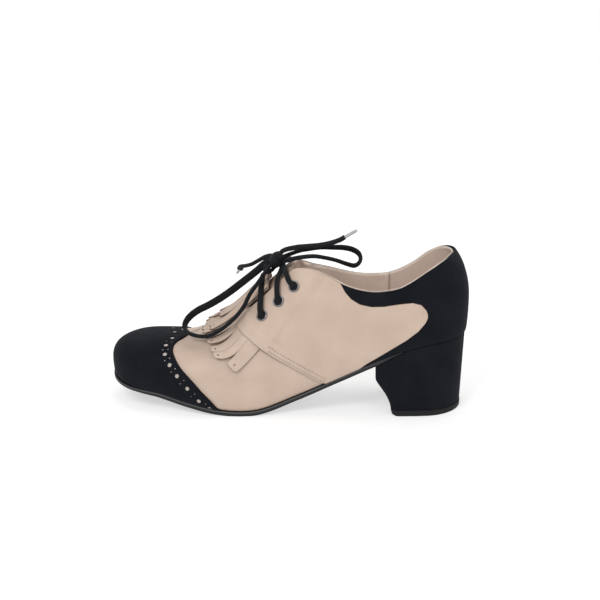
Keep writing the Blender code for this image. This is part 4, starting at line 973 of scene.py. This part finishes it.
sole_finish, sole_tree, sole_shader = finish_of("sole_leather", 0.45, Specular_IOR_Level=0.25)
sole_noise = texture(sole_tree, "Noise", 90.0, Detail=4.0)
mottled(sole_tree, sole_shader, sole_noise, SOLE_STAIN, SOLE_WORN)
# Painted highlight along the sole's top arris, carried by its line mark.
marked(sole_tree, sole_shader, "line", ARRIS_HIGHLIGHT)
fibre = texture(sole_tree, "Noise", 900.0, stretch=(1, 1, 6), Detail=3.0)
bump(sole_tree, sole_shader, fibre.outputs["Fac"], 0.08, 0.5)
sole_stations = np.concatenate([np.linspace(SOLE_END, 40, 20), np.linspace(41, BODY, 110),
                                np.linspace(BODY + 1, STATION_END, 40)])
sole_in, sole_down, sole_highlight = np.array(SOLE_PROFILE, float).T
sole_halves = []
for side in (-1.0, 1.0):
    feather, _, low, *_ = sections(sole_stations, np.full(len(sole_stations), side))
    start, way = ray(sole_stations, side)
    ahead = ease((sole_stations - SOLE_END) / SOLE_EDGE_RUN)
    by_toe = ease((sole_stations - TOE_START) / TOE_RUN)
    edge = feather + SOLE_EDGE * (SOLE_EDGE_TAIL + (1 - SOLE_EDGE_TAIL) * ahead) + TOE_REACH * by_toe**2
    thick = sole_thickness(sole_stations) - TOE_THIN * by_toe
    reach = np.maximum(edge[:, None] - sole_in, 0)
    top = bed_height(sole_stations[:, None], low[:, None], reach / edge[:, None]) - SOLE_GAP
    height = np.maximum(top - thick[:, None] * sole_down, 0.0)
    plan = start[:, None] + reach[..., None] * way[:, None]
    sole_halves.append(np.concatenate([plan, height[..., None]], -1))
sole_points, sole_faces, sole_kept = closed_halves(*sole_halves, at_last=False)
highlight_marks = np.tile(sole_highlight, 2 * len(sole_stations))[sole_kept]
outsole = piece("outsole_leather", sole_points, sole_faces, sole_finish,
                marks={"line": highlight_marks})
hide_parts("outsole")

# Heel: a straight block covered in the counter's nubuck, its breast cut back in a hollow curve.
# The cover is turned over the breast's edges and under the block.
TOP_PIECE_THICK, TOP_PIECE_GAP = 4.2, 0.15
BREAST = [          # share of the way down, station of the heel's front
    (0.0, 32.8), (0.15, 33.2), (0.34, 33.2), (0.5, 30.2), (0.68, 26.6), (0.85, 24.2), (1.0, 23.0),
]
BREAST_TOP, BREAST_FOOT = BREAST[0][1], BREAST[-1][1]
HEEL_FOOT = [(-40, 23.6, 23.6), (-20, 26.0, 25.4), (0, 29.4, 27.4), (33, 31.6, 28.0)]   # station, reaches
HEEL_ROLL = [(0, 0.5), (0.004, 0.2), (0.012, 0.0), (0.988, 0.0), (0.996, 0.15), (1.0, 0.45)]  # share down, in
HEEL_SEAT_PROUD, SOLE_NOTCH = 0.2, 0.5
HEEL_CORNER, CORNER_IN_TOP, CORNER_IN_FOOT = 6.0, 2.0, 5.5
CORNER_TURN = np.sin(np.linspace(0, math.pi / 2, 9))


def corner_in(station, end, length):
    """How far an outline has turned in by its end: 1 - sqrt(1 - u squared), u from 0 to 1 over the length."""
    u = np.clip((station - end + length) / length, 0, 1)
    return 1 - np.sqrt(1 - u * u)


def heel_ring(level, stations, shrink):
    """One ring of the heel: from the breast's lateral corner round the back to its medial corner, at a share
    of the way down. The seat outline blends evenly into the foot outline; the breast has its own curve."""
    breast = smooth(BREAST, level)[..., 0]
    share = np.clip(stations / BREAST_TOP, 0, 1)
    low_stations = np.where(stations < 0, stations, share * BREAST_FOOT)
    under_sole = np.where(stations > SOLE_END - SOLE_NOTCH, sole_thickness(stations) + SOLE_GAP, 0.0)
    halves = []
    for side in (-1.0, 1.0):
        feather, _, low, *_ = sections(stations, np.full(len(stations), side))
        start, way = ray(stations, side)
        seat = start + (feather + HEEL_SEAT_PROUD - shrink)[:, None] * way
        foot_start, foot_way = ray(low_stations, side)
        foot_reach = smooth(HEEL_FOOT, stations)[:, 0 if side < 0 else 1] - shrink
        plan = seat + (foot_start + foot_reach[:, None] * foot_way - seat) * level
        corner = CORNER_IN_TOP + (CORNER_IN_FOOT - CORNER_IN_TOP) * level
        plan[:, 1] -= side * corner * corner_in(stations, BREAST_TOP, HEEL_CORNER)
        plan[:, 0] -= share * (breast - BREAST_TOP - (BREAST_FOOT - BREAST_TOP) * level)
        top = low - SOLE_GAP - under_sole
        halves.append(np.column_stack([plan, top + (TOP_PIECE_THICK + TOP_PIECE_GAP - top) * level]))
    return np.concatenate([halves[0][::-1], halves[1][1:]])


heel_stations = np.concatenate([np.linspace(-FAN, 0, 41), np.linspace(1.0, SOLE_END - 0.9, 12),
                                [SOLE_END - SOLE_NOTCH, SOLE_END - 0.4],
                                np.linspace(SOLE_END + 0.5, BREAST_TOP - HEEL_CORNER, 9),
                                BREAST_TOP - HEEL_CORNER * (1 - CORNER_TURN[1:])])
heel_levels = np.concatenate([[0.0, 0.004, 0.012], np.linspace(0.03, 0.97, 48), [0.988, 0.996, 1.0]])
heel_rings = np.array([heel_ring(level, heel_stations, straight(HEEL_ROLL, level)) for level in heel_levels])
breast_share = np.linspace(0, 1, 16)[1:-1, None]
breast_front = heel_rings[:, :1] + (heel_rings[:, -1:] - heel_rings[:, :1]) * breast_share
heel_grid = np.concatenate([heel_rings, breast_front[:, ::-1], heel_rings[:, :1]], axis=1)
heel_all = heel_grid.reshape(-1, 3)
heel_triangles = grid_triangles(*heel_grid.shape[:2])
caps = []
ring_count = heel_rings.shape[1]
for level, flip in ((0, 1), (len(heel_levels) - 1, -1)):
    base = level * heel_grid.shape[1]
    left = base + np.arange((ring_count + 1) // 2)
    right = base + ring_count - 1 - np.arange((ring_count + 1) // 2)
    strip = np.concatenate([np.stack([left[:-1], right[:-1], right[1:]], -1),
                            np.stack([left[:-1], right[1:], left[1:]], -1)])
    front = base + np.concatenate([[ring_count - 1], np.arange(ring_count, heel_grid.shape[1])])
    fan = np.stack([np.full(len(front) - 2, front[0]), front[1:-1], front[2:]], -1)
    caps.append(np.concatenate([strip, fan])[:, ::flip])
first, faces, _ = welded(heel_all, np.concatenate([heel_triangles, *caps]))
heel = piece("heel_cover", heel_all[first], faces, nubuck("heel_nubuck"))
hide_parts("heel")

# Top piece: a flat lift of hard black rubber, pinned under the heel and trimmed a hair outside its cover.
# Its lower edges are worn round, most of all at the breast.
RUBBER, RUBBER_WORN = (0.009, 0.0095, 0.010), (0.015, 0.0155, 0.016)
TOP_PROFILE = [     # in from the edge, height
    (99, 4.2), (1.2, 4.2), (0.25, 4.15), (0.05, 3.9), (0.0, 3.4), (0.05, 0.9), (0.3, 0.25), (0.8, 0.0),
    (99, 0.0),
]
TOP_PIECE_PROUD = 0.3
BREAST_WEAR = [(0.0, 2.4), (0.25, 1.5), (0.9, 0.6), (3.4, 0.0)]     # height, how far the breast is worn back
WEAR_START = 14.0
FOOT_CORNER = HEEL_CORNER * BREAST_FOOT / BREAST_TOP
rubber_finish, rubber_tree, rubber_shader = finish_of("top_piece_rubber", 0.7, Specular_IOR_Level=0.18)
rubber_noise = texture(rubber_tree, "Noise", 300.0, Detail=4.0)
mottled(rubber_tree, rubber_shader, rubber_noise, RUBBER, RUBBER_WORN)
bump(rubber_tree, rubber_shader, rubber_noise.outputs["Fac"], 0.12, 0.4)
top_stations = np.concatenate([np.linspace(-FAN, 0, 41), np.linspace(1, BREAST_FOOT - FOOT_CORNER, 17),
                               BREAST_FOOT - FOOT_CORNER * (1 - CORNER_TURN[1:])])
top_in, top_high = np.array(TOP_PROFILE, float).T
top_halves = []
for side in (-1.0, 1.0):
    full = np.where(top_stations < 0, top_stations, top_stations * BREAST_TOP / BREAST_FOOT)
    outer = smooth(HEEL_FOOT, full)[:, 0 if side < 0 else 1] + TOP_PIECE_PROUD
    outer -= CORNER_IN_FOOT * corner_in(top_stations, BREAST_FOOT, FOOT_CORNER)
    start, way = ray(top_stations, side)
    reach = np.maximum(outer[:, None] - top_in, 0)
    plan = start[:, None] + reach[..., None] * way[:, None]
    by_breast = ease((top_stations - WEAR_START) / (BREAST_FOOT - WEAR_START))
    plan[..., 0] += by_breast[:, None] * straight(BREAST_WEAR, top_high)
    top_halves.append(np.concatenate([plan, np.broadcast_to(top_high, reach.shape)[..., None]], -1))
top_points, top_faces, _ = closed_halves(*top_halves, at_last=True)
top_piece = piece("top_piece_rubber", top_points, top_faces, rubber_finish)
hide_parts("top_piece")

# Lace between the eyelets: a flat woven black cotton lace, straight across at the front, then crossing.
# It comes up out of each eyelet, over the facing's edge and under the knot.
LACE_WIDE, LACE_THICK, CROSS_WIDE = 4.0, 2.3, 3.6
BAR_REST, BAR_LOW, LACE_MEET = 1.6, -1.2, 4.5
LACE_BLACK, LACE_SHEEN = (0.0032, 0.0036, 0.0046), (0.011, 0.0122, 0.0145)
YARNS_ROUND, YARNS_ALONG, YARN_LEAN = 9.0, 0.9, 38.0
RIDGE_SHARE = 0.995


def woven(name):
    """A woven lace on its UV map: two crossed sets of diagonal yarns along it, with a little fuzz."""
    material, tree, shader = finish_of(name, 0.7, Specular_IOR_Level=0.13, Sheen_Weight=0.03,
                                       Sheen_Roughness=0.45)
    waves = []
    for lean in (1.0, -1.0):
        where = tree.nodes.new("ShaderNodeTexCoord")
        mapping = tree.nodes.new("ShaderNodeMapping")
        mapping.inputs["Scale"].default_value = (YARNS_ROUND, YARNS_ALONG, 1.0)
        mapping.inputs["Rotation"].default_value = (0.0, 0.0, lean * math.radians(YARN_LEAN))
        wave = tree.nodes.new("ShaderNodeTexWave")
        wave.inputs["Scale"].default_value = 1.0
        tree.links.new(where.outputs["UV"], mapping.inputs["Vector"])
        tree.links.new(mapping.outputs["Vector"], wave.inputs["Vector"])
        waves.append(wave.outputs["Fac"])
    yarn = tree.nodes.new("ShaderNodeMath")
    yarn.operation = "MAXIMUM"
    for wave, socket in zip(waves, yarn.inputs):
        tree.links.new(wave, socket)
    tree.links.new(blend(tree, yarn.outputs["Value"], LACE_BLACK, LACE_SHEEN), shader.inputs["Base Color"])
    bump(tree, shader, yarn.outputs["Value"], 0.22, 0.6)
    fuzz = texture(tree, "Noise", 2500.0, Detail=2.0)
    bump(tree, shader, fuzz.outputs["Fac"], 0.05, 0.4)
    return material


def through(points, steps=6):
    """A smooth line through given points."""
    route = np.array(points, float)
    table = np.column_stack([np.arange(len(route)), route])
    return smooth(table, np.linspace(0, len(route) - 1, (len(route) - 1) * steps + 1))


def over(station, share, side, height):
    """One point at a height over the last."""
    return layer(np.array(float(station)), np.array(side * (1 - share)), np.array(float(height)))


def lace_over(name, eyelet, rows, middle, width):
    """A lace between the two eyelets of a pair. On each side it comes up through its eyelet and passes rows
    of station, share and height over the last, and between the two arms it passes the middle points."""
    station, share = eyelet
    arms = []
    for side in (-1.0, 1.0):
        arms.append([over(station, share, side, LAYER_OUT - 1.0),
                     over(station, share, side, LAYER_OUT + BAR_REST * 0.7)])
        arms[-1] += [over(at, up, side, height) for at, up, height in rows]
    return tube(name, through([*arms[0], *middle, *arms[1][::-1]]), width, LACE_THICK, lace_finish,
                (1, 0, 0.3))


lace_finish = woven("woven_lace")
bar_height = LAYER_OUT + BAR_REST
station, share = EYELETS[0]
bar_rows = [(station, share + 0.035, bar_height + 1.2), (station, 0.74, bar_height + 0.9),
            (station, 0.84, bar_height + 0.6), (station, 0.93, bar_height + 0.5)]
bar = lace_over("lace_bar", EYELETS[0], bar_rows, [], LACE_WIDE)
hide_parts("lace_bar_front")
meet = (EYELETS[1][0] + EYELETS[2][0]) / 2 + LACE_MEET
for number, (station, share) in enumerate(EYELETS[1:], 1):
    cross_rows = [(station + (meet - station) * 0.22, share + 0.04, bar_height + 1.2),
                  (station + (meet - station) * 0.45, 0.75, bar_height + 0.9),
                  (station + (meet - station) * 0.85, 0.87, BAR_LOW + 1.0)]
    middle = [over(meet, RIDGE_SHARE, 1.0, BAR_LOW + 0.3 * number)]
    lace_over(f"lace_cross_{number}", (station, share), cross_rows, middle,
                                     CROSS_WIDE)
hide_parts("lace_crossing")

# Free lace: the bow's knot, its two loops and its two short ends, each finished with a film aglet.
# The loops droop over the vamp and the collar under their own weight.
KNOT = np.array([-100.5, -3.5, 98.6])
LOOP_TOE = [
    (-107.5, -4.5, 96.5), (-113, -4.5, 91.6), (-119, -3.5, 86.4), (-125.2, -2.5, 81.2), (-132, -1.5, 75.6),
    (-139.5, -1, 70.2), (-147, -1, 65.6), (-153.5, -1.5, 62.3), (-158.5, -3.5, 59.0), (-161.6, -7, 55.6),
    (-162.0, -11, 52.6), (-159.6, -15, 50.7), (-155, -18.8, 50.0), (-149, -22.2, 50.2), (-143, -24.8, 51.9),
    (-136.5, -26.5, 55.9), (-130, -26.8, 61.1), (-124.5, -25.8, 66.6), (-120.2, -23.5, 72.4),
    (-116.8, -20.5, 79.2), (-112.4, -17.0, 85.2), (-108.6, -13.5, 90.4), (-104.4, -8.6, 95.7),
]
LOOP_HEEL = [
    (-94.5, -6.2, 98.8), (-88, -8.5, 101.0), (-82, -9.5, 102.4), (-75, -9.5, 103.0), (-68, -8.5, 101.8),
    (-61, -7, 99.9), (-54.5, -5, 97.2), (-49, -2.5, 95.2), (-45.8, 0.5, 96.2), (-44.7, 3.5, 98.8),
    (-46.2, 6, 101.6), (-50.5, 7, 103.9), (-56.5, 6.5, 105.2), (-63.5, 5.0, 105.6), (-71, 3.8, 105.8),
    (-79, 2.6, 104.8), (-86, 1.2, 103.6), (-94.6, -0.9, 100.8),
]
END_HEEL = [
    (-95.8, -4.2, 105.2), (-87, -4.5, 107.6), (-79, -5.5, 108.6), (-71.5, -6, 109.6), (-64.8, -6.5, 111.2),
    (-58.6, -7, 113.6), (-55.2, -7, 115.6),
]
END_TOE = [
    (-104.6, 1.9, 99.6), (-109.6, 5.6, 97.8), (-114, 8.8, 94.6), (-118.8, 12.4, 91.2), (-123.2, 16.6, 88.9),
    (-126.6, 21.4, 87.2), (-128.4, 26.2, 84.0),
]
ROOT_SHARE, CORD_WIDE = 0.3, 4.6
AGLET_WIDE, AGLET_THICK, AGLET_LONG, AGLET_OVERLAP = 2.8, 2.2, 9.0, 1.5
AGLET_SWELL = [(0, 1.12), (0.15, 1.0), (0.85, 0.95), (1, 0.8)]      # share of the way along, size
AGLET_FILM, AGLET_SHINE = (0.30, 0.30, 0.31), (0.46, 0.46, 0.46)
FREE_LACE = [       # name, route, way of its flat side, how that turns along it, width, thickness
    ("loop_toe", LOOP_TOE, (0.35, -0.75, 0.55), (90, 80, 60, 10, -15, 0), 5.0, 2.7),
    ("loop_heel", LOOP_HEEL, (0.1, 0.5, -0.85), (80, 60, 30, 0, -30, -70), 4.6, 2.7),
    ("end_heel", END_HEEL, (0, 1, 0), (15, 30, 20), 4.4, 2.7),
    ("end_toe", END_TOE, (0.7, 0, 0.7), (0, 30, 60), 4.4, 2.7),
]
film_finish, film_tree, film_shader = finish_of("aglet_film", 0.28, Coat_Weight=0.3)
film_noise = texture(film_tree, "Noise", 700.0, Detail=2.0)
mottled(film_tree, film_shader, film_noise, AGLET_FILM, AGLET_SHINE)
bump(film_tree, film_shader, film_noise.outputs["Fac"], 0.1, 0.4)


def rooted(point):
    """Where a strand that leaves the knot at a point starts, inside the knot."""
    return tuple(KNOT + ROOT_SHARE * (np.array(point) - KNOT))


cords, strands = {}, {}
for cord_name, route, flat_to, twist, wide, thick in FREE_LACE:
    strand = [rooted(route[0]), *route] + ([rooted(route[-1])] if cord_name.startswith("loop") else [])
    strands[cord_name] = through(strand)
    cords[cord_name] = tube("lace_" + cord_name + "_free", strands[cord_name], wide, thick, lace_finish,
                            flat_to, twist)
    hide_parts("lace_" + cord_name)

aglets = {}
for word, route in (("heel", END_HEEL), ("toe", END_TOE)):
    tip = np.array(route[-1])
    way = tip - np.array(route[-2])
    way /= np.linalg.norm(way)
    line = tip + way * np.linspace(-AGLET_OVERLAP, AGLET_LONG, 16)[:, None]
    aglets[word] = tube("aglet_film_" + word, line, AGLET_WIDE, AGLET_THICK, film_finish,
                        (0.3, 1, 0.2), around=18, swell=straight(AGLET_SWELL, np.linspace(0, 1, 16)))
    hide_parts("aglet_" + word)

# The knot itself: four closed turns of the lace, pulled tight side by side along the instep, each leaning its
# own way. The free strands start inside them.
KNOT_ALONG = np.array([0.707, 0.0, 0.707])
KNOT_OUT = np.array([-0.707, 0.0, 0.707])
KNOT_SIDE = np.array([0.0, 1.0, 0.0])
KNOT_TURNS = [      # name, lean, reach outwards, reach sideways, width, shift along the instep
    ("wrap", 0.25, 3.6, 5.6, 5.2, 0.4), ("under", -0.5, 3.0, 5.0, 4.8, -2.6),
    ("side", -0.25, 2.7, 4.8, 4.6, 3.2), ("half_hitch", 0.45, 2.8, 5.6, 4.6, -6.0),
]
KNOT_THICK = 2.4
turn = np.linspace(0, 2 * math.pi, 61)
for label, lean, reach_out, reach_side, wide, shift in KNOT_TURNS:
    ring = (KNOT + KNOT_ALONG * shift + np.cos(turn)[:, None] * KNOT_OUT * reach_out
            + np.sin(turn)[:, None] * (KNOT_SIDE * reach_side + KNOT_ALONG * lean * reach_side))
    tube("knot_" + label, ring, wide, KNOT_THICK, lace_finish, KNOT_ALONG,
                            around=18, caps=False)
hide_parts("lace_knot")

# Each free length of lace, with where it leaves the knot and what is on its end; its length is measured
# from inside the knot.
for cord_name, leaves, far_end, extras in (("loop_toe", LOOP_TOE[0], "object", []),
                                           ("loop_heel", LOOP_HEEL[0], "object", []),
                                           ("end_heel", END_HEEL[0], "fitting", [aglets["heel"]]),
                                           ("end_toe", END_TOE[0], "fitting", [aglets["toe"]])):
    line = strands[cord_name]
    run = float(np.linalg.norm(np.diff(line, axis=0), axis=1).sum())
